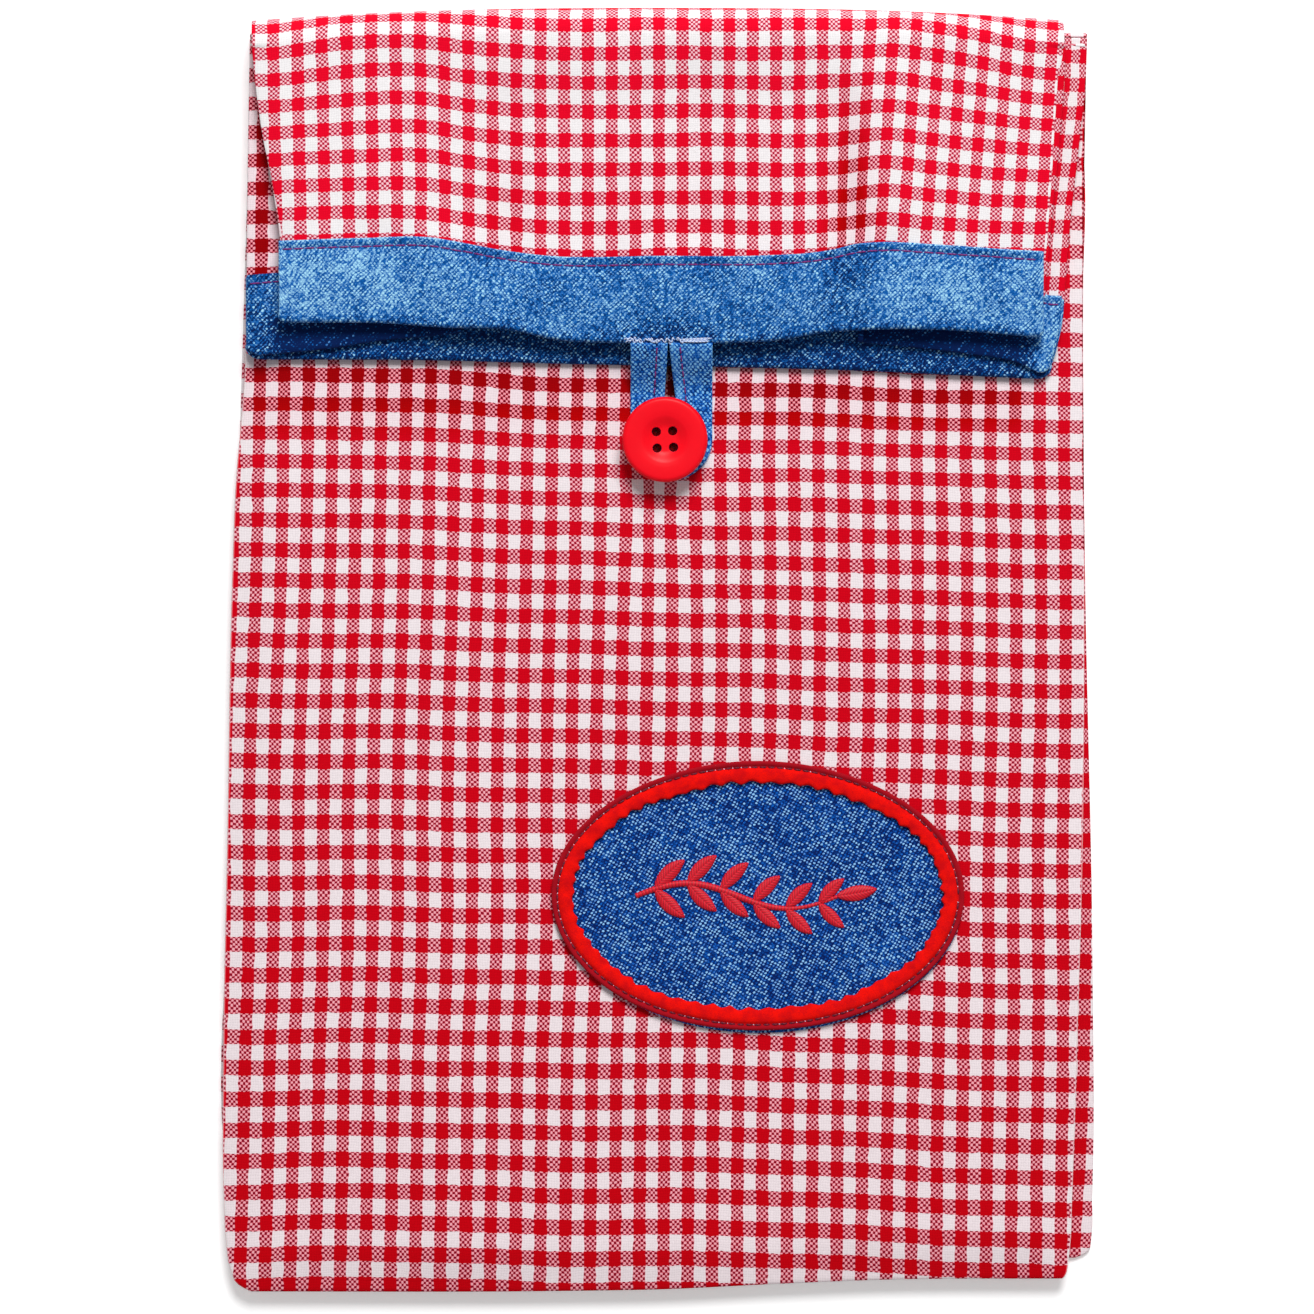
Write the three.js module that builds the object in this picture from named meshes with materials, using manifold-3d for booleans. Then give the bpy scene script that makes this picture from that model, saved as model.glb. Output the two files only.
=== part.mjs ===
// Gusseted cloth lunch bag: empty, lying flat on its back, its mouth folded over the front and buttoned down.
// Millimetres. X runs to the right, Y up the bag towards the fold, Z up through the layers of cloth.
import * as THREE from "three";
import { mergeVertices } from "three/addons/utils/BufferGeometryUtils.js";
import Module from "manifold-3d";

const wasm = await Module();
wasm.setup();

// The whole bag
const bagWidth = 220.9;
const bagLength = 325.8;
const roomInside = 5.9; // between the two walls, where the lunch goes

// Cloth
const clothThickness = 0.5;
const denimThickness = 0.7;
const sewnGap = 0.1; // between layers that are sewn together
const clearGap = 0.3; // between layers that move, and between pieces that butt

// The walls of the bag: how far their edges lie inside the widest line of the bag
const bottomCornerInset = 3;
const cornerRun = 10; // height over which a bottom corner rounds off
const foldInsetLeft = 6.1;
const foldInsetRight = 1.8;
const waistInsetLeft = 1.6;
const waistInsetRight = 2.6;
const waistHeight = 175; // of the waist above the bottom
const bellyHeight = 74; // of the widest line above the bottom
const backInsetLeft = 1; // the back wall's left edge lies this far inside the front wall's
const frontTuckRight = 4.2; // the front wall's right edge is rolled under, low down
const backShortfall = 8.1; // the back wall ends this much above the front wall's bottom

// Side gussets and base, folded inwards
const gussetDepth = 55.5;
const baseDepth = 60;
const flapGussetDepth = 50;
const mitreGap = 0.5;

// The flap, which is the bag's mouth folded over
const flapReach = 78.2; // from the fold to the back wall's mouth at the middle
const flapSideRise = 7.3; // the back wall's mouth is this much higher at its sides
const flapInsetLeft = 6.7;
const flapInsetRight = 8.4;
const mouthInsetLeft = 14.6;
const mouthInsetRight = 13.4;
const innerReachLeft = 80.8;
const innerReachRight = 85.9;
const innerInsetLeft = 6.0;
const innerInsetRight = 8.2;

// Denim bands round the mouth
const bandHeight = 20.3;
const gussetBandThickness = 1.0;
const gussetBandOverlap = 2;
const topstitchInset = 1.65; // from a band's edge to its row of stitches
const topstitchWidth = 0.6;
const topstitchHeight = 0.2;

// Button loop: a narrow folded denim strip with both legs side by side
const loopWidth = 20.3;
const loopThickness = 1.2;
const loopCentreX = 3.05;
const loopReach = 34.8; // from the band's edge to its tip
const slitRootWidth = 0.6;
const slitWidth = 4;
const slitLeanX = 2; // the slit starts right of the button's centre by this much at the root
const slitPastButton = 3.2;
const loopSeam = 2.6; // from the slit to its row of stitches
const tipRound = 8.5;
const loopLiftOff = 0.4; // under the loop, above the front wall
const bartackLength = 29;
const bartackWidth = 1.2;
const bartackHeight = 0.35;

// Button and its thread shank
const buttonDiameter = 21.6;
const buttonThickness = 3.8;
const buttonBelowMouth = 24.2;
const buttonX = 1;
const buttonRimRound = 1.2;
const dishRadius = 5.9;
const dishDepth = 1.2;
const holeDiameter = 2.3;
const holeSpacing = 4.3;
const shankLength = 4.2;
const shankDiameter = 3.2;
const strandDiameter = 1.2;

// Where the front wall bulges as the bag fills
const bulgeBelowLoop = 5.9;

// Oval patch
const patchX = 24.8;
const patchHeight = 100.2; // of its centre above the bottom
const patchLength = 104.8;
const patchWidth = 68.4;
const feltThickness = 1.1;
const feltWidth = 5.5;
const scallopCount = 60;
const scallopDepth = 0.5;
const patchBacking = 1.2; // the denim oval lies this far inside the felt's edge
const stitchInset = 1.4;
const stitchWidth = 0.7;
const stitchHeight = 0.3;
const sprigLength = 62;
const sprigLeafLength = 9.5;
const sprigLeafWidth = 3.6;
const sprigLeafPairs = 6;
const sprigStemWidth = 1.5;
const sprigHeight = 0.5;
const sprigWave = 3.2; // of its stem, to either side

// Levels of the layers, from the floor up
const backTop = clothThickness;
const frontBottom = backTop + roomInside;
const frontTop = frontBottom + clothThickness;
const foldInnerRadius = (denimThickness + clearGap + sewnGap) / 2;
const foldZ = frontTop + foldInnerRadius;
const foldOuterRadius = foldZ;
const innerFlapBottom = foldZ + foldInnerRadius;
const innerFlapTop = innerFlapBottom + clothThickness;
const outerFlapBottom = innerFlapTop + roomInside;
const outerFlapTop = outerFlapBottom + clothThickness;
const frontBandTop = innerFlapTop + sewnGap + denimThickness;
const backBandBottom = outerFlapBottom - sewnGap - denimThickness;
const backBandTop = outerFlapTop + sewnGap + denimThickness;

// Main lines in the plane of the bag
const left = -bagWidth / 2;
const right = bagWidth / 2;
const bottom = -bagLength / 2;
const foldY = bagLength / 2 - foldOuterRadius;
const backBottom = bottom + backShortfall;
const creaseLeft = left + gussetDepth;
const creaseRight = right - gussetDepth - foldInsetRight;
const flapCreaseLeft = (left + flapInsetLeft + left + mouthInsetLeft) / 2 + flapGussetDepth;
const flapCreaseRight = (right - flapInsetRight + right - mouthInsetRight) / 2 - flapGussetDepth;
const baseCrease = bottom + baseDepth;
const wrap = denimThickness + sewnGap; // from a band's outer edge to the cloth inside it
const mouthY = foldY - flapReach;
const loopRootY = mouthY - clearGap;
const loopTipY = mouthY - loopReach;
const buttonY = mouthY - buttonBelowMouth;
const bulgeY = loopTipY - bulgeBelowLoop;
const patchY = bottom + patchHeight;
const patchBottom = frontTop + sewnGap;
const feltBottom = patchBottom + denimThickness + sewnGap;
const buttonBottom = frontTop + shankLength;

// Edges of the walls as [y, x], from the bottom up
const frontLeftEdge = [
  [bottom, left + bottomCornerInset],
  [bottom + cornerRun, left + waistInsetLeft],
  [bottom + bellyHeight, left],
  [bottom + waistHeight, left + waistInsetLeft],
  [foldY, left + foldInsetLeft],
];
const frontRightEdge = [
  [bottom, right - bottomCornerInset - frontTuckRight],
  [bottom + bellyHeight, right - frontTuckRight],
  [bottom + waistHeight, right - waistInsetRight],
  [foldY, right - foldInsetRight],
];
const backLeftEdge = [
  [backBottom, left + bottomCornerInset],
  [bottom + bellyHeight, left + backInsetLeft],
  [bottom + waistHeight, left + backInsetLeft + waistInsetLeft],
  [foldY, left + foldInsetLeft],
];
const backRightEdge = [
  [backBottom, right - bottomCornerInset],
  [backBottom + cornerRun, right],
  [bottom + bellyHeight - cornerRun, right],
  [bottom + waistHeight, right - waistInsetRight],
  [foldY, right - foldInsetRight],
];

// The x of an edge at a height y, on straight lines between its points.
function edgeX(edge, y) {
  let k = 0;
  while (k < edge.length - 2 && y > edge[k + 1][0]) k += 1;
  const [lowY, lowX] = edge[k];
  const [highY, highX] = edge[k + 1];
  return lowX + ((y - lowY) / (highY - lowY)) * (highX - lowX);
}

// The stretch of an edge from y0 up to y1, as points in the plane of the bag.
function edgeRun(edge, y0, y1) {
  const inside = edge.filter(([y]) => y > y0 + 0.01 && y < y1 - 0.01);
  return [[edgeX(edge, y0), y0], ...inside.map(([y, x]) => [x, y]), [edgeX(edge, y1), y1]];
}

// The y of the back wall's mouth edge: lowest at the loop, higher towards both sides.
function backMouthY(x) {
  const across = Math.min(1, Math.abs(x - loopCentreX) / (right - mouthInsetRight - loopCentreX));
  return mouthY + flapSideRise * (1 - Math.cos(Math.PI * across)) * 0.5;
}

// The y of the front wall's mouth edge, which runs down to the right.
function frontMouthY(x) {
  const across = (x - left - innerInsetLeft) / (bagWidth - innerInsetLeft - innerInsetRight);
  return foldY - THREE.MathUtils.lerp(innerReachLeft, innerReachRight, across);
}

// The flap's edges at a height y.
function outerFlapX(side, y) {
  const down = (foldY - y) / flapReach;
  if (side < 0) return left + THREE.MathUtils.lerp(flapInsetLeft, mouthInsetLeft, down);
  return right - THREE.MathUtils.lerp(flapInsetRight, mouthInsetRight, down);
}
function innerFlapX(side) {
  return side < 0 ? left + innerInsetLeft : right - innerInsetRight;
}

// A closed mesh's geometry from vertices and triangles, turned so that its faces point out.
function closedGeometry(positions, triangles) {
  const at = (i) => new THREE.Vector3().fromArray(positions, 3 * i);
  let volume = 0;
  for (let i = 0; i < triangles.length; i += 3)
    volume += at(triangles[i]).dot(at(triangles[i + 1]).cross(at(triangles[i + 2])));
  const facing = volume < 0 ? [...triangles].reverse() : triangles;
  const geometry = new THREE.BufferGeometry();
  geometry.setAttribute("position", new THREE.Float32BufferAttribute(positions, 3));
  return geometry.setIndex(facing);
}

// A body through rings of points, each ring a closed section [x, y, z], with both ends closed.
function loft(rings) {
  const count = rings[0].length;
  const triangles = [];
  for (let r = 0; r + 1 < rings.length; r++)
    for (let i = 0; i < count; i++) {
      const a = r * count + i;
      const b = r * count + ((i + 1) % count);
      triangles.push(a, b, b + count, a, b + count, a + count);
    }
  const spans = [0, 1, 2].map((k) => Math.max(...rings[0].map((p) => p[k])) - Math.min(...rings[0].map((p) => p[k])));
  const drop = spans.indexOf(Math.min(...spans));
  const flat = rings[0].map((p) => new THREE.Vector2(...p.filter((_, k) => k !== drop)));
  const clockwise = THREE.ShapeUtils.isClockWise(flat);
  const last = (rings.length - 1) * count;
  for (const face of THREE.ShapeUtils.triangulateShape(flat, [])) {
    const [a, b, c] = clockwise ? [...face].reverse() : face;
    triangles.push(c, b, a, last + a, last + b, last + c);
  }
  return closedGeometry(rings.flat(2), triangles);
}

// A flat plate of an outline [x, y], from zLow to zHigh, with holes of the same form.
function plate(outline, zLow, zHigh, holes = []) {
  const toPoints = (list) => list.map(([x, y]) => new THREE.Vector2(x, y));
  const shape = new THREE.Shape(toPoints(outline));
  shape.holes = holes.map((hole) => new THREE.Path(toPoints(hole)));
  const geometry = new THREE.ExtrudeGeometry(shape, { depth: zHigh - zLow, bevelEnabled: false });
  return geometry.translate(0, 0, zLow);
}

// A geometry as a solid that can be joined and cut, and back again.
function toSolid(geometry) {
  const bare = geometry.clone();
  bare.deleteAttribute("normal");
  bare.deleteAttribute("uv");
  const merged = mergeVertices(bare, 1e-4);
  const triVerts = new Uint32Array(merged.index.array);
  const vertProperties = merged.attributes.position.array;
  return new wasm.Manifold(new wasm.Mesh({ numProp: 3, vertProperties, triVerts }));
}
function toGeometry(solid) {
  const { vertProperties, triVerts } = solid.getMesh();
  const geometry = new THREE.BufferGeometry();
  geometry.setAttribute("position", new THREE.Float32BufferAttribute(vertProperties, 3));
  return geometry.setIndex([...triVerts]);
}
function join(...geometries) {
  return toGeometry(geometries.map(toSolid).reduce((all, next) => all.add(next)));
}
function cut(geometry, ...tools) {
  return toGeometry(tools.map(toSolid).reduce((rest, tool) => rest.subtract(tool), toSolid(geometry)));
}

// An upright cylinder from zLow to zHigh.
function post(x, y, radius, zLow, zHigh, sides = 16) {
  const geometry = new THREE.CylinderGeometry(radius, radius, zHigh - zLow, sides);
  return geometry.rotateX(Math.PI / 2).translate(x, y, (zLow + zHigh) / 2);
}

// Points round an ellipse, whose radii may vary with the angle.
function ovalPoints(x, y, radiusX, radiusY, steps, ripple = () => 0) {
  return Array.from({ length: steps }, (_, i) => {
    const angle = (2 * Math.PI * i) / steps;
    const add = ripple(angle);
    return [x + (radiusX + add) * Math.cos(angle), y + (radiusY + add) * Math.sin(angle)];
  });
}

// Finishes: colour, roughness
const finishes = {
  gingham: [0xd98a90, 0.9],
  denim: [0x2f6fb5, 0.85],
  plastic: [0xf5182a, 0.35],
  felt: [0xe8120c, 0.95],
  redThread: [0xc01020, 0.7],
  paleThread: [0xc8d4e4, 0.7],
};

const bag = new THREE.Group();

function addPiece(name, finish, geometry) {
  const [color, roughness] = finishes[finish];
  const mesh = new THREE.Mesh(geometry, new THREE.MeshStandardMaterial({ color, roughness, metalness: 0 }));
  mesh.name = name;
  bag.add(mesh);
}

// The back wall and the front wall, which is one cloth that bulges below the button.
function addWalls() {
  const wallTop = foldY - clearGap;
  const between = (leftEdge, rightEdge, y0, y1) => [
    ...edgeRun(leftEdge, y0, y1),
    ...edgeRun(rightEdge, y0, y1).reverse(),
  ];
  addPiece("back_panel", "gingham", plate(between(backLeftEdge, backRightEdge, backBottom, wallTop), 0, backTop));
  const upper = between(frontLeftEdge, frontRightEdge, bulgeY + clearGap / 2, wallTop);
  const lower = between(frontLeftEdge, frontRightEdge, bottom, bulgeY - clearGap / 2);
  addPiece("front_panel_upper", "gingham", plate(upper, frontBottom, frontTop));
  addPiece("front_panel_lower", "gingham", plate(lower, frontBottom, frontTop));
}

// A wall folded inwards: two leaves that meet in a crease.
function foldedLeaves(lowOutline, highOutline, creaseOutline, zLow, zHigh, thickness) {
  return join(
    plate(lowOutline, zLow, zLow + thickness),
    plate(highOutline, zHigh - thickness, zHigh),
    plate(creaseOutline, zLow, zHigh),
  );
}

// The side walls of the bag, each folded inwards along its middle and mitred onto the base.
function addGussets() {
  const zLow = backTop + clearGap;
  const zHigh = frontBottom - clearGap;
  const top = foldY - clearGap;
  const sides = [
    ["gusset_left", backLeftEdge, frontLeftEdge, creaseLeft, -1],
    ["gusset_right", backRightEdge, frontRightEdge, creaseRight, 1],
  ];
  for (const [name, backEdge, frontEdge, crease, side] of sides) {
    const leaf = (edge, y0) => [...edgeRun(edge, y0, top), [crease, top], [crease, baseCrease]];
    const creaseStrip = [
      [crease, baseCrease],
      [crease + side * clothThickness, baseCrease],
      [crease + side * clothThickness, top],
      [crease, top],
    ];
    const leaves = [leaf(backEdge, backBottom), leaf(frontEdge, bottom)];
    addPiece(name, "gingham", foldedLeaves(...leaves, creaseStrip, zLow, zHigh, clothThickness));
  }
}

// The base of the bag, folded inwards between the gussets.
function addBase() {
  const leaf = (leftEdge, rightEdge, y0) => [
    [edgeX(leftEdge, y0) + mitreGap, y0],
    [edgeX(rightEdge, y0) - mitreGap, y0],
    [creaseRight - mitreGap, baseCrease],
    [creaseLeft + mitreGap, baseCrease],
  ];
  const creaseStrip = [
    [creaseLeft + mitreGap, baseCrease],
    [creaseLeft + mitreGap, baseCrease - clothThickness],
    [creaseRight - mitreGap, baseCrease - clothThickness],
    [creaseRight - mitreGap, baseCrease],
  ];
  const backLeaf = leaf(backLeftEdge, backRightEdge, backBottom);
  const frontLeaf = leaf(frontLeftEdge, frontRightEdge, bottom);
  const zLow = backTop + clearGap;
  const zHigh = frontBottom - clearGap;
  addPiece("base_panel", "gingham", foldedLeaves(backLeaf, frontLeaf, creaseStrip, zLow, zHigh, clothThickness));
}

// A section [x, radius] carried half a turn round the fold, from the body up to the flap.
function roundTheFold(sectionAt, steps) {
  const rings = [];
  for (let i = 0; i <= steps; i++) {
    const angle = Math.PI * (i / steps - 0.5);
    const place = ([x, r]) => [x, foldY + r * Math.cos(angle), foldZ + r * Math.sin(angle)];
    rings.push(sectionAt(i / steps).map(place));
  }
  return loft(rings);
}

// The stretch of each wall that goes round the fold at the top of the bag.
function addFold() {
  const { lerp } = THREE.MathUtils;
  const strip = (radius, bodyLeft, bodyRight, flapLeft, flapRight) => (t) => [
    [lerp(bodyLeft, flapLeft, t), radius - clothThickness],
    [lerp(bodyRight, flapRight, t), radius - clothThickness],
    [lerp(bodyRight, flapRight, t), radius],
    [lerp(bodyLeft, flapLeft, t), radius],
  ];
  const bodyLeft = left + foldInsetLeft;
  const bodyRight = right - foldInsetRight;
  const outerLeft = outerFlapX(-1, foldY);
  const outerRight = outerFlapX(1, foldY);
  const backStrip = strip(foldOuterRadius, bodyLeft, bodyRight, outerLeft, outerRight);
  addPiece("fold_back_wall", "gingham", roundTheFold(backStrip, 16));
  const frontRadius = foldInnerRadius + clothThickness;
  const frontStrip = strip(frontRadius, bodyLeft, bodyRight, innerFlapX(-1), innerFlapX(1));
  addPiece("fold_front_wall", "gingham", roundTheFold(frontStrip, 8));

  const rLow = frontRadius + clearGap;
  const rHigh = foldOuterRadius - clothThickness - clearGap;
  const sides = [
    ["fold_gusset_left", bodyLeft, innerFlapX(-1), outerLeft, creaseLeft, flapCreaseLeft, -1],
    ["fold_gusset_right", bodyRight, innerFlapX(1), outerRight, creaseRight, flapCreaseRight, 1],
  ];
  for (const [name, bodyX, innerX, outerX, bodyCrease, flapCrease, side] of sides) {
    const section = (t) => {
      const crease = lerp(bodyCrease, flapCrease, t);
      const creaseBack = crease + side * clothThickness;
      return [
        [lerp(bodyX, innerX, t), rLow],
        [crease, rLow],
        [crease, rHigh],
        [lerp(bodyX, outerX, t), rHigh],
        [lerp(bodyX, outerX, t), rHigh - clothThickness],
        [creaseBack, rHigh - clothThickness],
        [creaseBack, rLow + clothThickness],
        [lerp(bodyX, innerX, t), rLow + clothThickness],
      ];
    };
    addPiece(name, "gingham", roundTheFold(section, 14));
  }
}

// Even stations from a to b, both counted.
function stations(a, b, steps) {
  return Array.from({ length: steps + 1 }, (_, i) => THREE.MathUtils.lerp(a, b, i / steps));
}

// The two walls of the flap: the front wall inside, the back wall outside.
function addFlapWalls() {
  const top = foldY - clearGap;
  const innerEdge = [innerFlapX(-1), innerFlapX(1)];
  const inner = [
    [innerEdge[0], frontMouthY(innerEdge[0]) + wrap],
    [innerEdge[1], frontMouthY(innerEdge[1]) + wrap],
    [innerEdge[1], top],
    [innerEdge[0], top],
  ];
  addPiece("flap_front_wall", "gingham", plate(inner, innerFlapBottom, innerFlapTop));
  const mouth = stations(left + mouthInsetLeft, right - mouthInsetRight, 18);
  const outer = [
    ...mouth.map((x) => [x, backMouthY(x) + wrap]),
    [outerFlapX(1, top), top],
    [outerFlapX(-1, top), top],
  ];
  addPiece("flap_back_wall", "gingham", plate(outer, outerFlapBottom, outerFlapTop));
}

// The gussets between the flap's two walls, from the fold down to their bands.
function addFlapGussets() {
  const top = foldY - clearGap;
  const zLow = innerFlapTop + clearGap;
  const zHigh = outerFlapBottom - clearGap;
  for (const [name, side, crease] of [
    ["flap_gusset_left", -1, flapCreaseLeft],
    ["flap_gusset_right", 1, flapCreaseRight],
  ]) {
    const clothStart = (mouth, x) => mouth(x) + bandHeight + clearGap;
    const innerX = innerFlapX(side);
    const outerX = outerFlapX(side, mouthY + bandHeight);
    const lowLeaf = [
      [innerX, clothStart(frontMouthY, innerX)],
      [crease, clothStart(frontMouthY, crease)],
      [crease, top],
      [innerX, top],
    ];
    const highLeaf = [
      ...stations(outerX, crease, 5).map((x) => [x, clothStart(backMouthY, x)]),
      [crease, top],
      [outerFlapX(side, top), top],
    ];
    const creaseBottom = clothStart(backMouthY, crease);
    const creaseStrip = [
      [crease, creaseBottom],
      [crease + side * clothThickness, creaseBottom],
      [crease + side * clothThickness, top],
      [crease, top],
    ];
    addPiece(name, "gingham", foldedLeaves(lowLeaf, highLeaf, creaseStrip, zLow, zHigh, clothThickness));
  }
}

// A denim band folded over the edge of a wall: a hairpin section, carried along the mouth.
function bandWrap(xs, mouth, zLow, zHigh) {
  const rings = xs.map((x) => {
    const edge = mouth(x);
    const top = edge + bandHeight;
    return [
      [x, edge, zLow],
      [x, top, zLow],
      [x, top, zLow + denimThickness],
      [x, edge + denimThickness, zLow + denimThickness],
      [x, edge + denimThickness, zHigh - denimThickness],
      [x, top, zHigh - denimThickness],
      [x, top, zHigh],
      [x, edge, zHigh],
    ];
  });
  return loft(rings);
}

// A row of stitches along a band, as the low ridge that its thread makes.
function topstitchRow(xs, mouth, zLow) {
  const rings = xs.map((x) => {
    const high = mouth(x) + bandHeight - topstitchInset;
    const low = high - topstitchWidth;
    return [
      [x, low, zLow],
      [x, high, zLow],
      [x, high, zLow + topstitchHeight],
      [x, low, zLow + topstitchHeight],
    ];
  });
  return loft(rings);
}

function addBands() {
  const backXs = stations(left + mouthInsetLeft, right - mouthInsetRight, 18);
  const frontXs = [innerFlapX(-1), innerFlapX(1)];
  const frontBandBottom = innerFlapBottom - sewnGap - denimThickness;
  addPiece("band_back", "denim", bandWrap(backXs, backMouthY, backBandBottom, backBandTop));
  addPiece("band_front", "denim", bandWrap(frontXs, frontMouthY, frontBandBottom, frontBandTop));
  addPiece("band_back_topstitch", "redThread", topstitchRow(backXs, backMouthY, backBandTop + sewnGap));
  addPiece("band_front_topstitch", "redThread", topstitchRow(frontXs, frontMouthY, frontBandTop + sewnGap));

  const zLow = frontBandTop + 2 * clearGap;
  const zHigh = backBandBottom - 2 * clearGap;
  const height = bandHeight + gussetBandOverlap;
  for (const [name, side, clothCrease] of [
    ["band_gusset_left", -1, flapCreaseLeft],
    ["band_gusset_right", 1, flapCreaseRight],
  ]) {
    const crease = clothCrease + side * (clothThickness + clearGap);
    const leaf = (outerX, mouth) => {
      const xs = stations(outerX, crease, 5);
      return [...xs.map((x) => [x, mouth(x)]), ...xs.reverse().map((x) => [x, mouth(x) + height])];
    };
    const lowLeaf = leaf(innerFlapX(side), frontMouthY);
    const highLeaf = leaf(outerFlapX(side, mouthY + bandHeight), backMouthY);
    const creaseStrip = [
      [crease, backMouthY(crease)],
      [crease + side * gussetBandThickness, backMouthY(crease)],
      [crease + side * gussetBandThickness, frontMouthY(crease) + height],
      [crease, frontMouthY(crease) + height],
    ];
    addPiece(name, "denim", foldedLeaves(lowLeaf, highLeaf, creaseStrip, zLow, zHigh, gussetBandThickness));
  }
}

// The loop's underside: flat under the button, then up to the band's edge.
const loopFlatZ = frontTop + loopLiftOff;
const loopBendY = buttonY + buttonDiameter / 2;
const loopRootZ = (backBandBottom + backBandTop - loopThickness) / 2;
function loopUnderside(y) {
  const up = Math.max(0, (y - loopBendY) / (loopRootY - loopBendY));
  return THREE.MathUtils.lerp(loopFlatZ, loopRootZ, up);
}

// Half the slit between the loop's legs, and its middle, at a height y.
function slitAt(y) {
  const up = THREE.MathUtils.clamp((y - buttonY) / (loopRootY - buttonY), 0, 1);
  const width = THREE.MathUtils.lerp(slitWidth, slitRootWidth, up);
  return { middle: buttonX + slitLeanX * up * 0.5, half: width / 2 };
}

// A bar that follows the loop's slope: x from a(y) to b(y), from zAdd above its underside.
function loopBar(ys, a, b, zAdd, thickness) {
  const rings = ys.map((y) => {
    const z = loopUnderside(y) + zAdd;
    return [
      [a(y), y, z],
      [b(y), y, z],
      [b(y), y, z + thickness],
      [a(y), y, z + thickness],
    ];
  });
  return loft(rings);
}

function addLoop() {
  const slitEnd = buttonY - slitPastButton;
  const legYs = [slitEnd - 1, buttonY, loopBendY, loopRootY];
  const loopLeft = loopCentreX - loopWidth / 2;
  const loopRight = loopCentreX + loopWidth / 2;
  const leftLeg = loopBar(legYs, () => loopLeft, (y) => slitAt(y).middle - slitAt(y).half, 0, loopThickness);
  const rightLeg = loopBar(legYs, (y) => slitAt(y).middle + slitAt(y).half, () => loopRight, 0, loopThickness);
  const tip = Array.from({ length: 13 }, (_, i) => {
    const angle = Math.PI * (1 + i / 12);
    const tipDrop = Math.min(tipRound, slitEnd - loopTipY);
    const y = loopTipY + tipDrop + tipDrop * Math.sin(angle);
    return [loopCentreX + (loopWidth / 2) * Math.cos(angle), y];
  });
  const tipOutline = [[loopLeft, slitEnd], ...tip, [loopRight, slitEnd]];
  const tipPlate = plate(tipOutline, loopFlatZ, loopFlatZ + loopThickness);
  addPiece("button_loop", "denim", join(leftLeg, rightLeg, tipPlate));

  const half = topstitchWidth / 2;
  const rowZ = loopThickness + sewnGap;
  const rowYs = [slitEnd - loopSeam, buttonY, loopBendY, loopRootY - 1];
  const rowX = (side) => (y) => slitAt(y).middle + side * (slitAt(y).half + loopSeam);
  const row = (side) =>
    loopBar(rowYs, (y) => rowX(side)(y) - half, (y) => rowX(side)(y) + half, rowZ, topstitchHeight);
  const turnY = slitEnd - loopSeam;
  const turnXs = [rowX(-1)(turnY) - half, rowX(1)(turnY) + half];
  const turn = [
    [turnXs[0], turnY - half],
    [turnXs[1], turnY - half],
    [turnXs[1], turnY + half],
    [turnXs[0], turnY + half],
  ];
  const turnZ = loopFlatZ + rowZ;
  addPiece("loop_topstitch", "redThread", join(row(-1), row(1), plate(turn, turnZ, turnZ + topstitchHeight)));

  const tackXs = stations(loopCentreX - bartackLength / 2, loopCentreX + bartackLength / 2, 6);
  const tack = tackXs.map((x) => {
    const low = backMouthY(x) + sewnGap;
    const z = backBandTop + sewnGap;
    return [
      [x, low, z],
      [x, low + bartackWidth, z],
      [x, low + bartackWidth, z + bartackHeight],
      [x, low, z + bartackHeight],
    ];
  });
  addPiece("loop_bartack", "paleThread", loft(tack));
}

// The four places of the button's holes.
function holePlaces() {
  const half = holeSpacing / 2;
  return [
    [buttonX - half, buttonY - half],
    [buttonX + half, buttonY - half],
    [buttonX + half, buttonY + half],
    [buttonX - half, buttonY + half],
  ];
}

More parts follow.
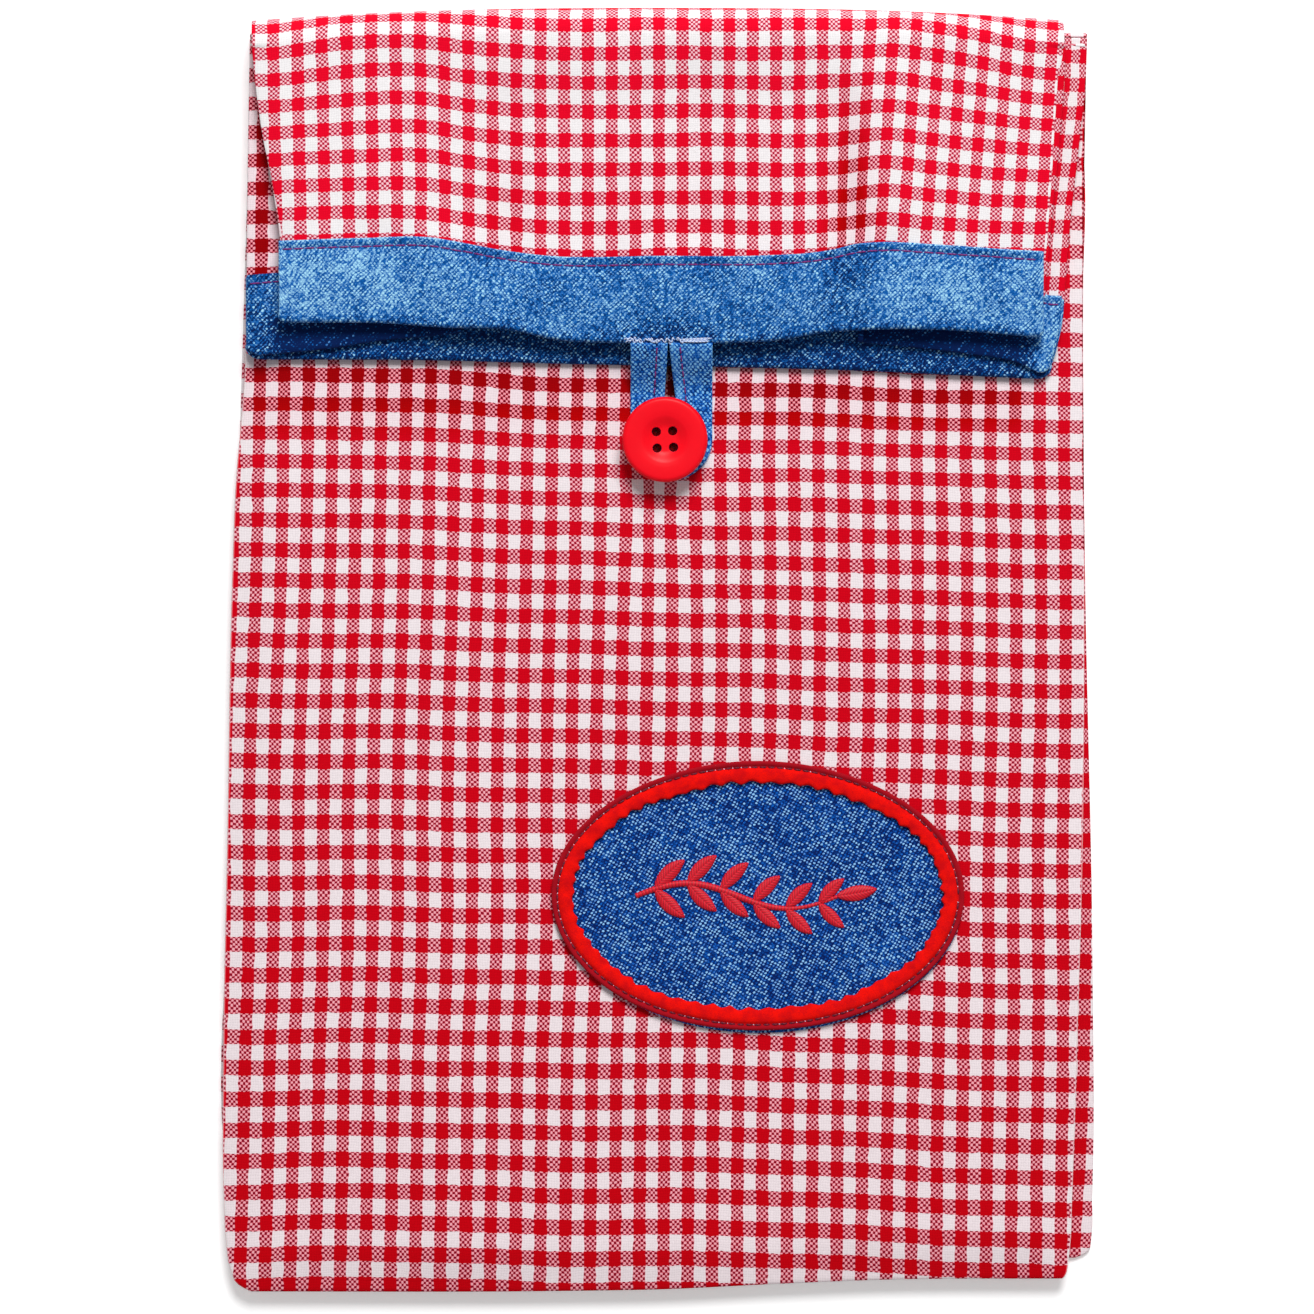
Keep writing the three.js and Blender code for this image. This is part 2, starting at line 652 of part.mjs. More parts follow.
function addButton() {
  const rim = buttonDiameter / 2;
  const top = buttonThickness;
  const round = buttonRimRound;
  const profile = new THREE.Path();
  profile.moveTo(0, 0);
  profile.lineTo(rim - round * 1.6, 0);
  profile.quadraticCurveTo(rim, round * 0.6, rim, top - round);
  profile.quadraticCurveTo(rim, top, rim - round, top);
  profile.lineTo(dishRadius + 1, top - 0.1);
  profile.quadraticCurveTo(dishRadius, top - 0.15, dishRadius - 0.8, top - dishDepth * 0.6);
  profile.quadraticCurveTo(dishRadius - 1.4, top - dishDepth, dishRadius - 2.6, top - dishDepth);
  profile.lineTo(0, top - dishDepth);
  const disc = new THREE.LatheGeometry(profile.getPoints(4), 40).rotateX(Math.PI / 2);
  disc.translate(buttonX, buttonY, buttonBottom);
  const holes = holePlaces().map(([x, y]) =>
    post(x, y, holeDiameter / 2, buttonBottom - 1, buttonBottom + buttonThickness + 1),
  );
  addPiece("button", "plastic", cut(disc, ...holes));

  const shank = shankDiameter / 2;
  const foot = frontTop + clearGap;
  const strandTop = buttonBottom + buttonThickness - dishDepth + clearGap + strandDiameter;
  const underside = buttonBottom - clearGap;
  const shankProfile = new THREE.Path();
  shankProfile.moveTo(0, foot);
  shankProfile.absarc(0, foot + shank, shank, -Math.PI / 2, 0, false);
  shankProfile.lineTo(shank, underside - strandDiameter);
  shankProfile.lineTo(holeSpacing / Math.SQRT2 + strandDiameter / 2, underside - strandDiameter / 2);
  shankProfile.lineTo(holeSpacing / Math.SQRT2 + strandDiameter / 2, underside);
  shankProfile.lineTo(0, underside);
  const core = new THREE.LatheGeometry(shankProfile.getPoints(4), 20).rotateX(Math.PI / 2);
  core.translate(buttonX, buttonY, 0);
  const strands = holePlaces().map(([x, y]) =>
    post(x, y, strandDiameter / 2, underside - strandDiameter / 4, strandTop, 10),
  );
  const bars = [-1, 1].map((side) => {
    const x = buttonX + (side * holeSpacing) / 2;
    const reach = holeSpacing / 2 + strandDiameter / 4;
    const half = strandDiameter / 3;
    const outline = [
      [x - half, buttonY - reach],
      [x + half, buttonY - reach],
      [x + half, buttonY + reach],
      [x - half, buttonY + reach],
    ];
    return plate(outline, strandTop - strandDiameter, strandTop);
  });
  addPiece("button_thread", "redThread", join(core, ...strands, ...bars));
}

// The oval patch: denim under a felt ring with a scalloped inner edge, and an embroidered sprig.
function addPatch() {
  const radiusX = patchLength / 2;
  const radiusY = patchWidth / 2;
  const backing = ovalPoints(patchX, patchY, radiusX - patchBacking, radiusY - patchBacking, 72);
  addPiece("patch_base", "denim", plate(backing, patchBottom, patchBottom + denimThickness));
  const ripple = (angle) => scallopDepth * Math.abs(Math.sin((scallopCount / 2) * angle));
  const inner = ovalPoints(patchX, patchY, radiusX - feltWidth, radiusY - feltWidth, scallopCount * 4, ripple);
  const felt = ovalPoints(patchX, patchY, radiusX, radiusY, 72);
  const feltTop = feltBottom + feltThickness;
  addPiece("patch_ring", "felt", plate(felt, feltBottom, feltTop, [inner]));
  const rowOut = ovalPoints(patchX, patchY, radiusX - stitchInset, radiusY - stitchInset, 72);
  const rowInset = stitchInset + stitchWidth;
  const rowIn = ovalPoints(patchX, patchY, radiusX - rowInset, radiusY - rowInset, 72);
  const rowZ = feltTop + sewnGap;
  addPiece("patch_stitching", "redThread", plate(rowOut, rowZ, rowZ + stitchHeight, [rowIn]));
  addPiece("patch_sprig", "redThread", sprig(feltBottom));
}

// The height of the sprig's stem at a share t of its length.
function stemY(t) {
  return patchY + sprigWave * Math.sin(2 * Math.PI * t);
}

// A leafy sprig in satin stitch: a waving stem with leaves in pairs and one at its end.
function sprig(zLow) {
  const zHigh = zLow + sprigHeight;
  const startX = patchX - sprigLength / 2;
  const stemLength = sprigLength - sprigLeafLength;
  const spine = stations(0, 1, 16).map((t) => [startX + t * stemLength, stemY(t)]);
  const half = sprigStemWidth / 2;
  const stem = plate(
    [...spine.map(([x, y]) => [x, y - half]), ...[...spine].reverse().map(([x, y]) => [x, y + half])],
    zLow,
    zHigh,
  );
  const leaf = (x, y, angle, length) => {
    const side = (sign) =>
      stations(0, 1, 6).map((t) => [length * t, sign * (sprigLeafWidth / 2) * Math.sin(Math.PI * t) ** 0.8]);
    const outline = [...side(-1), ...side(1).slice(1, -1).reverse()];
    return plate(outline, zLow, zHigh).rotateZ(angle).translate(x, y, 0);
  };
  const leaves = [leaf(startX + stemLength - half, stemY(1), 0.1, sprigLeafLength + half)];
  for (let i = 0; i < sprigLeafPairs; i++) {
    const t = (i + 0.6) / (sprigLeafPairs + 0.2);
    const x = startX + t * stemLength;
    for (const turn of [1, -1]) leaves.push(leaf(x, stemY(t), turn * 0.95, sprigLeafLength));
  }
  return join(stem, ...leaves);
}

addWalls();
addGussets();
addBase();
addFold();
addFlapWalls();
addFlapGussets();
addBands();
addLoop();
addButton();
addPatch();

export default bag;
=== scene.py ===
# Empty cloth lunch bag, lying on its back and seen from straight above: gingham walls, a denim band round
# the mouth, which is folded over the front as a flap, a denim loop under a big red button, and an oval
# denim patch. Lengths in the dictionaries are in millimetres. X runs to the right, Y up the bag, Z up
# through its layers.
import math
import random

import bmesh
import bpy
from mathutils import Matrix, Vector
import numpy as np


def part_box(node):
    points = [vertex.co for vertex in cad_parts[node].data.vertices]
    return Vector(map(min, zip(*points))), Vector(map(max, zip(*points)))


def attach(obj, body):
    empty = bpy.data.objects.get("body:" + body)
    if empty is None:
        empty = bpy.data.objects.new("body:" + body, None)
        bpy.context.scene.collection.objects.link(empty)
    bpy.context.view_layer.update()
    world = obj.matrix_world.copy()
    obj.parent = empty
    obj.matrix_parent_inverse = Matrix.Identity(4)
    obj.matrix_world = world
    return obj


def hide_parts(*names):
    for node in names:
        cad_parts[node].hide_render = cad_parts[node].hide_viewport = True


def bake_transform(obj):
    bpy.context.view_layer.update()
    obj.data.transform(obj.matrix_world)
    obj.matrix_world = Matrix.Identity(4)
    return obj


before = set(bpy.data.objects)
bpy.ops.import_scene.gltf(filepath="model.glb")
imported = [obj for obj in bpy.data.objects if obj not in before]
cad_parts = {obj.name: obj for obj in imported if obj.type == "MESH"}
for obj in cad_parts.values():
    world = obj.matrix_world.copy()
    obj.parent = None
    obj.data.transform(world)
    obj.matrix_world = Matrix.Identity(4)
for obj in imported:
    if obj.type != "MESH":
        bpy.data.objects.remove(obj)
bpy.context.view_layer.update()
random.seed(11)

mm = 0.001


def level(name, share=0.5):
    # height of a frame node's middle, or of another share of its thickness, in mm
    low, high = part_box(name)
    return (low[2] + (high[2] - low[2]) * share) / mm


cloth = {
    "cotton": 0.5,  # thickness of the gingham
    "denim": 0.7,
    "felt": 1.1,
    "step": 2.4,  # spacing of the mesh's rows on a plain stretch
    "edgeSteps": (0, 0.25, 0.6, 1.1, 1.8, 2.8),  # finer rows beside an edge, which rounds over
    "edgeRound": 1.1,
    "edgeDrop": 0.45,
    "rimOut": 0.4,  # how far a rim's middle stands out, as a share of half the thickness
    "rimIn": 0.6,  # how far the faces draw in beside it
}
levels = {
    "back": level("back_panel"),
    "front": level("front_panel_upper"),
    "innerFlap": level("flap_front_wall"),
    "outerFlap": level("flap_back_wall"),
    "outerBand": level("band_back"),
    # the low and the high leaf of what is folded inwards
    "gussetBand": (level("band_gusset_left", 0) + 0.5, level("band_gusset_left", 1) - 0.5),
    "gusset": (level("gusset_left", 0) + 0.25, level("gusset_left", 1) - 0.25),
    "flapGusset": (level("flap_gusset_left", 0) + 0.25, level("flap_gusset_left", 1) - 0.25),
}
fold = {
    "y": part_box("fold_back_wall")[0][1] / mm,
    "z": level("fold_back_wall"),
    "outerRadius": level("flap_back_wall") - level("fold_back_wall"),
    "innerRadius": level("flap_front_wall") - level("fold_back_wall"),
    "bow": 3.4,  # the fold's ends lie this much lower than its middle
    "bendsFrom": 1.2,  # heights between which the cloth passes from the bag to the flap
    "bendsTo": 12,
}
hinge = {
    "y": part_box("front_panel_upper")[0][1] / mm,
    "blend": 3.5,
    "gap": 0.3,  # the gussets part by twice this much at the hinge
}


def throughPoints(*points):
    # a smooth curve through points (place, value), flat beyond its ends
    places, values = np.array(points, float).T
    slopes = np.gradient(values, places)

    def curve(at):
        at = np.clip(at, places[0], places[-1])
        k = np.clip(np.searchsorted(places, at) - 1, 0, len(places) - 2)
        run = places[k + 1] - places[k]
        t = (at - places[k]) / run
        start = (2 * t**3 - 3 * t**2 + 1) * values[k] + (t**3 - 2 * t**2 + t) * run * slopes[k]
        return start + (3 * t**2 - 2 * t**3) * values[k + 1] + (t**3 - t**2) * run * slopes[k + 1]

    return curve


def easeBetween(low, high, at):
    t = np.clip((at - low) / (high - low), 0, 1)
    return t * t * (3 - 2 * t)


def hump(centre, width, at):
    return np.exp(-(((at - centre) / width) ** 2))


def mixOf(a, b, share):
    return a + (b - a) * share


def arc(count, first=-90, last=90):
    # evenly spaced angles, given in degrees and wanted in radians
    return np.linspace(first, last, count) * math.pi / 180


def stacked(x, y, z):
    # points from their coordinates, each of which is a number or an array
    return np.stack(np.broadcast_arrays(x, y, z), axis=-1)


def runAlong(path):
    # the length along a path up to each of its points
    return np.concatenate([[0], np.cumsum(np.linalg.norm(np.diff(path, axis=0), axis=1))])


def pointsAt(places, run, path):
    # the points of a path at some lengths along it
    return np.stack([np.interp(places, run, path[:, axis]) for axis in range(3)], axis=-1)


# Outlines of the walls: x of each side at a height y, and y of the bottom at a place x
outline = {
    "front": {
        "left": throughPoints(
            (-163.5, -104.0), (-161.6, -107.4), (-158, -109.3), (-151.5, -110.4), (-140, -111.0),
            (-100, -111.1), (-48, -110.1), (20, -108.8), (43, -107.9), (66, -105.9), (89, -104.9),
            (158, -104.1),
        ),
        "right": throughPoints(
            (-161.1, 101.4), (-159.4, 103.0), (-156, 103.8), (-152, 104.3), (-140, 104.8), (-96, 106.2),
            (-64, 107.2), (20, 107.9), (89, 107.6), (158, 108.4),
        ),
    },
    "back": {
        "left": throughPoints((-154.8, -106.5), (-140, -109.6), (-48, -109.2), (20, -108.0), (158, -104.1)),
        "right": throughPoints(
            (-155.4, 106.0), (-154.4, 108.4), (-151, 109.7), (-140, 110.2), (-80, 110.3), (20, 108.4),
            (89, 107.8), (124, 108.2), (140, 106.5), (150, 103.6), (158, 101.4),
        ),
    },
    "flap": {
        "left": throughPoints(
            (82, -95.4), (102, -96.0), (118, -98.3), (130, -100.5), (140, -101.8), (160, -103.6),
        ),
        "right": throughPoints(
            (79, 96.0), (99, 97.7), (129, 100.8), (146, 102.2), (153, 102.4), (160, 101.4),
        ),
    },
    "innerFlap": {
        "left": throughPoints((70, -104.9), (95, -104.9), (160, -104.0)),
        "right": throughPoints(
            (68, 101.4), (91, 102.4), (110, 103.9), (130, 106.3), (145, 107.9), (158, 108.4),
        ),
    },
}
frontBottom = throughPoints(
    (-108, -163.4), (-25, -163.3), (0, -162.9), (30, -161.5), (55, -160.5), (105, -160.1),
)
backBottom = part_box("back_panel")[0][1] / mm - 0.6

# Where the walls that are folded inwards are creased: x in the bag and in its flap, and y of the base
creases = {"left": -55, "right": 53.2}
flapCreases = {"left": -49.8, "right": 49.6}
baseCrease = -102.9

# Lines of the mouth, along the bag at a place x: the edge of each band, and its upper edge where it differs
mouth = {
    "bandHeight": 20.3,
    "back": throughPoints(
        (-96, 82.9), (-66, 82.5), (-55, 81.6), (-38, 81.0), (-26, 78.5), (-12, 77.8), (15, 77.7), (32, 78.7),
        (40, 80.2), (50, 80.9), (73, 80.9), (94, 79.3),
    ),
    "backTop": throughPoints(
        (-96, 103.1), (-75, 103.8), (-58, 103.9), (-50, 102.6), (-42, 101.1), (-30, 99.5), (0, 99.3),
        (28, 99.5), (38, 100.1), (44, 101.0), (49, 102.2), (55, 102.7), (72, 102.0), (90, 100.8), (97, 100.4),
    ),
    "front": throughPoints(
        (-105, 73.9), (-60, 73.7), (-25, 72.8), (15, 72.0), (52, 71.0), (75, 69.9), (103, 68.6),
    ),
}


def acrossWall(wall, y, share):
    # x at a share of the way across a wall, at a height y
    return mixOf(outline[wall]["left"](y), outline[wall]["right"](y), share)


def evenly(length, step=cloth["step"]):
    # places along a length, with finer ones beside both its ends
    fine = np.array(cloth["edgeSteps"])
    plain = np.linspace(fine[-1], length - fine[-1], max(2, round((length - 2 * fine[-1]) / step)))
    return np.concatenate([fine[:-1], plain, (length - fine[:-1])[::-1]])


def roundedEdge(distance):
    # how far a cloth's edge turns down at a distance from the edge
    near = np.clip(1 - distance / cloth["edgeRound"], 0, 1)
    return -cloth["edgeDrop"] * (1 - np.sqrt(1 - near**2 * 0.96))


def addObject(name, data):
    made = bpy.data.objects.new(name, data)
    bpy.context.scene.collection.objects.link(made)
    return made


def meshPiece(name, points, faces, threads):
    # a mesh from points in mm; threads is each point's place in the cloth: across, along, and a value for
    # wear and painted light and shade
    mesh = bpy.data.meshes.new(name)
    mesh.from_pydata((np.asarray(points, float) * mm).tolist(), [], faces)
    place = mesh.attributes.new("threads", "FLOAT_VECTOR", "POINT")
    place.data.foreach_set("vector", np.asarray(threads, np.float32).ravel())
    work = bmesh.new()
    work.from_mesh(mesh)
    bmesh.ops.recalc_face_normals(work, faces=work.faces)
    work.to_mesh(mesh)
    work.free()
    mesh.polygons.foreach_set("use_smooth", [True] * len(mesh.polygons))
    return addObject(name, mesh)


def clothPiece(name, middle, threads, thickness=cloth["cotton"]):
    # a cloth of some thickness about its middle surface (rows, columns, xyz), with rounded edges
    middle, threads = np.asarray(middle, float), np.asarray(threads, float)
    rows, columns = middle.shape[:2]
    normal = np.cross(np.gradient(middle, axis=1), np.gradient(middle, axis=0))
    normal /= np.maximum(np.linalg.norm(normal, axis=2, keepdims=True), 1e-9)
    out = np.zeros_like(middle)
    out[0] += middle[0] - middle[1]
    out[-1] += middle[-1] - middle[-2]
    out[:, 0] += middle[:, 0] - middle[:, 1]
    out[:, -1] += middle[:, -1] - middle[:, -2]
    out /= np.maximum(np.linalg.norm(out, axis=2, keepdims=True), 1e-9)
    rim = [(0, c) for c in range(columns)] + [(r, columns - 1) for r in range(1, rows)]
    rim += [(rows - 1, c) for c in range(columns - 2, -1, -1)] + [(r, 0) for r in range(rows - 2, 0, -1)]
    r, c = np.array(rim).T
    half = thickness / 2
    # the faces draw in a little at the rim, so that the edge is round
    inward = np.zeros_like(middle)
    inward[r, c] = -out[r, c] * half * cloth["rimIn"]
    top = middle + inward + normal * half
    low = middle + inward - normal * half
    edge = middle[r, c] + out[r, c] * half * cloth["rimOut"]
    points = np.concatenate([top.reshape(-1, 3), low.reshape(-1, 3), edge])
    flat = threads.reshape(-1, 3)
    places = np.concatenate([flat, flat, threads[r, c]])
    count = rows * columns
    faces = []
    for i in range(rows - 1):
        for j in range(columns - 1):
            a = i * columns + j
            quad = (a, a + 1, a + columns + 1, a + columns)
            faces.append(quad)
            faces.append(tuple(count + k for k in quad[::-1]))
    around = r * columns + c
    for k in range(len(rim)):
        n = (k + 1) % len(rim)
        faces.append((around[k], 2 * count + k, 2 * count + n, around[n]))
        faces.append((2 * count + k, count + around[k], count + around[n], 2 * count + n))
    piece = meshPiece(name, points, faces, places)
    # the cut's own size: its widest row, its longest column and its area
    width = np.linalg.norm(np.diff(middle, axis=1), axis=2).sum(axis=1).max()
    length = np.linalg.norm(np.diff(middle, axis=0), axis=2).sum(axis=0).max()
    diagonals = np.cross(middle[1:, 1:] - middle[:-1, :-1], middle[1:, :-1] - middle[:-1, 1:])
    area = min(np.linalg.norm(diagonals, axis=2).sum() / 2, width * length)
    piece["cutSize"] = (width * mm, length * mm, area * mm**2)
    return piece


def sweptPiece(name, bodies):
    # one mesh of several swept bodies; each is (rings, threads, closed), rings as (stations, round, xyz)
    points, places, faces = [], [], []
    start = 0
    for rings, threads, closed in bodies:
        rings = np.asarray(rings, float)
        stations, around = rings.shape[:2]
        points.append(rings.reshape(-1, 3))
        places.append(np.asarray(threads, float).reshape(-1, 3))
        for i in range(stations if closed else stations - 1):
            for j in range(around):
                a, b = start + i * around, start + ((i + 1) % stations) * around
                n = (j + 1) % around
                faces.append((a + j, a + n, b + n, b + j))
        if not closed:
            faces.append(tuple(start + j for j in range(around)))
            faces.append(tuple(start + (stations - 1) * around + j for j in range(around)))
        start += stations * around
    return meshPiece(name, np.concatenate(points), faces, np.concatenate(places))


def thread(path, radius, sides=6, taper=True):
    # a round thread along a path, as a swept body; threads holds mm along it and turns round it
    path = np.asarray(path, float)
    along = np.gradient(path, axis=0)
    along /= np.linalg.norm(along, axis=1, keepdims=True)
    side = np.cross(along, (0, 0, 1.0))
    side /= np.maximum(np.linalg.norm(side, axis=1, keepdims=True), 1e-6)
    up = np.cross(side, along)
    size = np.full(len(path), radius, float)
    if taper:
        size[[0, -1]] *= 0.45
    turn = np.linspace(0, 2 * math.pi, sides, endpoint=False)
    ring = side[:, None] * np.cos(turn)[None, :, None] + up[:, None] * np.sin(turn)[None, :, None]
    rings = path[:, None] + ring * size[:, None, None]
    places = stacked(runAlong(path)[:, None], turn[None, :] / (2 * math.pi), 0)
    return rings, places, False


def dress(piece, material, nodes=(), body=None):
    # gives a piece its material, hides the frame's nodes that it stands for, and hangs it on the body that
    # carries it
    piece.data.materials.append(material)
    if body:
        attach(piece, body)
    if nodes:
        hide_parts(*nodes)
    return piece


def declareSheet(piece, withPieces=()):
    width, length, area = piece["cutSize"]


def bendsAtFold(piece, zStart=fold["bendsFrom"], zEnd=fold["bendsTo"]):
    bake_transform(piece)


# Materials


def toLinear(hexCode):
    channels = [int(hexCode[i:i + 2], 16) / 255 for i in (1, 3, 5)]
    return tuple(c / 12.92 if c <= 0.04045 else ((c + 0.055) / 1.055) ** 2.4 for c in channels) + (1.0,)


def addNode(tree, kind, inputs, **settings):
    # adds a node with its settings and its links, values or hex colours, and gives back its first output
    node = tree.nodes.new("ShaderNode" + kind)
    for name, value in settings.items():
        setattr(node, name, value)
    for socket, value in inputs.items():
        if isinstance(value, bpy.types.NodeSocket):
            tree.links.new(value, node.inputs[socket])
        else:
            node.inputs[socket].default_value = toLinear(value) if isinstance(value, str) else value
    return node.outputs[0]


def threadPlaces(tree):
    return addNode(tree, "Attribute", {}, attribute_name="threads").node.outputs["Vector"]


def wanderingThreads(tree, reach, pitch):
    # the threads attribute, shifted by a slow noise, because yarns never lie quite straight; also its third
    # value, for wear and painted light and shade
    threads = threadPlaces(tree)
    noise = addNode(tree, "TexNoise", {"Vector": threads, "Scale": 1 / pitch, "Detail": 2.0})
    shift = noise.node.outputs["Color"]
    shift = addNode(tree, "VectorMath", {0: shift, 1: (0.5, 0.5, 0.5)}, operation="SUBTRACT")
    shift = addNode(tree, "VectorMath", {0: shift, 1: (reach, reach, 0)}, operation="MULTIPLY")
    threads = addNode(tree, "VectorMath", {0: threads, 1: shift}, operation="ADD")
    return threads, addNode(tree, "SeparateXYZ", {0: threads}).node.outputs[2]


def newMaterial(name, roughness, specular=0.5, ior=1.5):
    material = bpy.data.materials.new(name)
    material.use_nodes = True
    tree = material.node_tree
    shader = tree.nodes["Principled BSDF"]
    shader.inputs["Roughness"].default_value = roughness
    shader.inputs["Specular IOR Level"].default_value = specular
    shader.inputs["IOR"].default_value = ior
    return material, tree, shader


def finishSurface(tree, shader, colour, height, relief, strength=0.5):
    # the colour of a surface, and the relief that a height gives it, so many mm deep
    tree.links.new(colour, shader.inputs["Base Color"])
    bump = addNode(tree, "Bump", {"Height": height, "Strength": strength, "Distance": relief * mm})
    tree.links.new(bump, shader.inputs["Normal"])


def yarnCells(tree, threads, pitchAcross, pitchAlong):
    # plain weave: whether the weft lies on top, how far its yarn bulges, and a random number of its own
    perYarn = (1 / pitchAcross, 1 / pitchAlong, 0)
    yarns = addNode(tree, "VectorMath", {0: threads, 1: perYarn}, operation="MULTIPLY")
    yarns = addNode(tree, "VectorMath", {0: yarns, 1: (0.5, 0.5, 0)}, operation="ADD")
    cell = addNode(tree, "VectorMath", {0: yarns}, operation="FLOOR")
    inside = addNode(tree, "VectorMath", {0: yarns, 1: cell}, operation="SUBTRACT")
    inside = addNode(tree, "VectorMath", {0: inside, 1: (0.5, 0.5, 0)}, operation="SUBTRACT")
    cellX = addNode(tree, "SeparateXYZ", {0: cell})
    cellSum = addNode(tree, "Math", {0: cellX, 1: cellX.node.outputs[1]}, operation="ADD")
    weftOver = addNode(tree, "Math", {0: cellSum, 1: 2.0}, operation="FLOORED_MODULO")
    insideX = addNode(tree, "SeparateXYZ", {0: inside})
    insideY = insideX.node.outputs[1]
    cross = addNode(tree, "MixRGB", {0: weftOver, 1: insideX, 2: insideY})
    along = addNode(tree, "MixRGB", {0: weftOver, 1: insideY, 2: insideX})
    crossSquare = addNode(tree, "Math", {0: cross, 1: cross}, operation="MULTIPLY")
    alongSquare = addNode(tree, "Math", {0: along, 1: along}, operation="MULTIPLY")
    crossFall = addNode(tree, "Math", {0: crossSquare, 1: -2.8, 2: 1.0}, operation="MULTIPLY_ADD")
    bulge = addNode(tree, "Math", {0: alongSquare, 1: -1.2, 2: crossFall}, operation="MULTIPLY_ADD")
    return weftOver, bulge, addNode(tree, "TexWhiteNoise", {"Vector": cell}, noise_dimensions="2D")


gingham = {
    # a tone on the bag's body and a lighter one on the flap: painted light, the flap's tone as in full light
    "red": ("#c40004", "#f4062a"),
    "dot": ("#7c0422", "#b61a3c"),  # a lone red yarn among white ones, sunk between them; its dark tone is partly painted shade
    "dots": ("#fbd8da", "#ffffff"),  # what tints the half-tone checks
    "tint": ("#fff0f4", "#ffffff"),  # the whole cloth's own tone
    "paintedShadeRed": "#8e0009",  # painted shade: the red where the cloth is painted as lying in shade, below the flap's band, beside the flap's edges, in its crease, in the loop's slit and on the gussets' fold
    "white": "#fefafb",
    "dotRim": "#ee5c76",
    "paleDot": "#ffd2da",
    "edge": "#ffd5d8",  # the worn fold at the walls' side edges
    "checkAcross": 3.175,  # an eighth of an inch
    "checkAlong": 3.975,
    "yarnsAcross": 5,  # in one check
    "yarnsAlong": 6,
    "wander": 0.9,  # how far the yarns stray
    "wanderPitch": 2.6,
    "gapShade": 0.86,  # how dark the hollows between yarns are
    "slitShade": 0.3,  # painted shade: how dark the whole colour is painted in the loop's slit, which light hardly reaches, and along the front's right edge beside the flap
    "relief": 0.05,
}


def ginghamCotton():
    # yarn-dyed plain weave, carded cotton: matt.
    material, tree, shader = newMaterial("yarnDyedGinghamCotton", 0.9, 0.05)
    threads, wearAndShade = wanderingThreads(tree, gingham["wander"], gingham["wanderPitch"])
    periods = (1 / (2 * gingham["checkAcross"]), 1 / (2 * gingham["checkAlong"]), 0)
    checks = addNode(tree, "VectorMath", {0: threads, 1: periods}, operation="MULTIPLY")
    checks = addNode(tree, "VectorMath", {0: checks, 1: (0.25, 0.25, 0)}, operation="ADD")
    checks = addNode(tree, "VectorMath", {0: checks}, operation="FRACTION")
    checkX = addNode(tree, "SeparateXYZ", {0: checks})
    redWarp, redWeft = (
        addNode(tree, "Math", {0: place, 1: 0.5}, operation="LESS_THAN") for place in checkX.node.outputs[:2]
    )
    pitchAcross = gingham["checkAcross"] / gingham["yarnsAcross"]
    pitchAlong = gingham["checkAlong"] / gingham["yarnsAlong"]
    weftOver, bulge, uneven = yarnCells(tree, threads, pitchAcross, pitchAlong)
    # the wear and painted light value takes each tone from the body's to the flap's, which is painted
    # lighter, as in full light
    reds, redDot, dotsTint, tint = (
        addNode(tree, "MixRGB", {0: wearAndShade, 1: gingham[tone][0], 2: gingham[tone][1]}, use_clamp=True)
        for tone in ("red", "dot", "dots", "tint")
    )
    # below 0 the reds turn towards the painted shade red, and below -1 the whole colour is darkened: painted
    # shade
    dark = addNode(tree, "Math", {0: wearAndShade, 1: -1.0}, operation="MULTIPLY", use_clamp=True)
    reds = addNode(tree, "MixRGB", {0: dark, 1: reds, 2: gingham["paintedShadeRed"]})
    unlit = addNode(tree, "MapRange", {0: wearAndShade, 1: -1.0, 2: -2.0, 3: 1.0, 4: gingham["slitShade"]})
    isRed = addNode(tree, "MixRGB", {0: weftOver, 1: redWarp, 2: redWeft})
    plain = addNode(tree, "MixRGB", {0: isRed, 1: gingham["white"], 2: reds})
    # each yarn is spun a little unevenly
    tone = addNode(tree, "MapRange", {0: uneven, 3: 0.95, 4: 1.0})
    hollow = addNode(tree, "MapRange", {0: bulge, 1: 0.1, 2: 0.8, 3: gingham["gapShade"], 4: 1.0})
    shade = addNode(tree, "Math", {0: tone, 1: hollow}, operation="MULTIPLY")
    crown = addNode(tree, "MapRange", {0: bulge, 1: 0.15, 2: 0.75}, interpolation_type="SMOOTHSTEP")
    dotTone = addNode(tree, "MixRGB", {0: isRed, 1: gingham["paleDot"], 2: redDot})
    dots = addNode(tree, "MixRGB", {0: crown, 1: gingham["dotRim"], 2: dotTone})
    plain, dots = (
        addNode(tree, "MixRGB", {0: 1.0, 1: colour, 2: by}, blend_type="MULTIPLY")
        for colour, by in ((plain, shade), (dots, dotsTint))
    )
    mixed = addNode(tree, "Math", {0: redWarp, 1: redWeft}, operation="SUBTRACT")
    mixed = addNode(tree, "Math", {0: mixed}, operation="ABSOLUTE")
    colour = addNode(tree, "MixRGB", {0: mixed, 1: plain, 2: dots})
    for by in (tint, unlit):
        colour = addNode(tree, "MixRGB", {0: 1.0, 1: colour, 2: by}, blend_type="MULTIPLY")
    edge = addNode(tree, "Math", {0: wearAndShade, 1: 1.0}, operation="SUBTRACT", use_clamp=True)
    colour = addNode(tree, "MixRGB", {0: edge, 1: colour, 2: gingham["edge"]})
    finishSurface(tree, shader, colour, bulge, gingham["relief"])
    return material


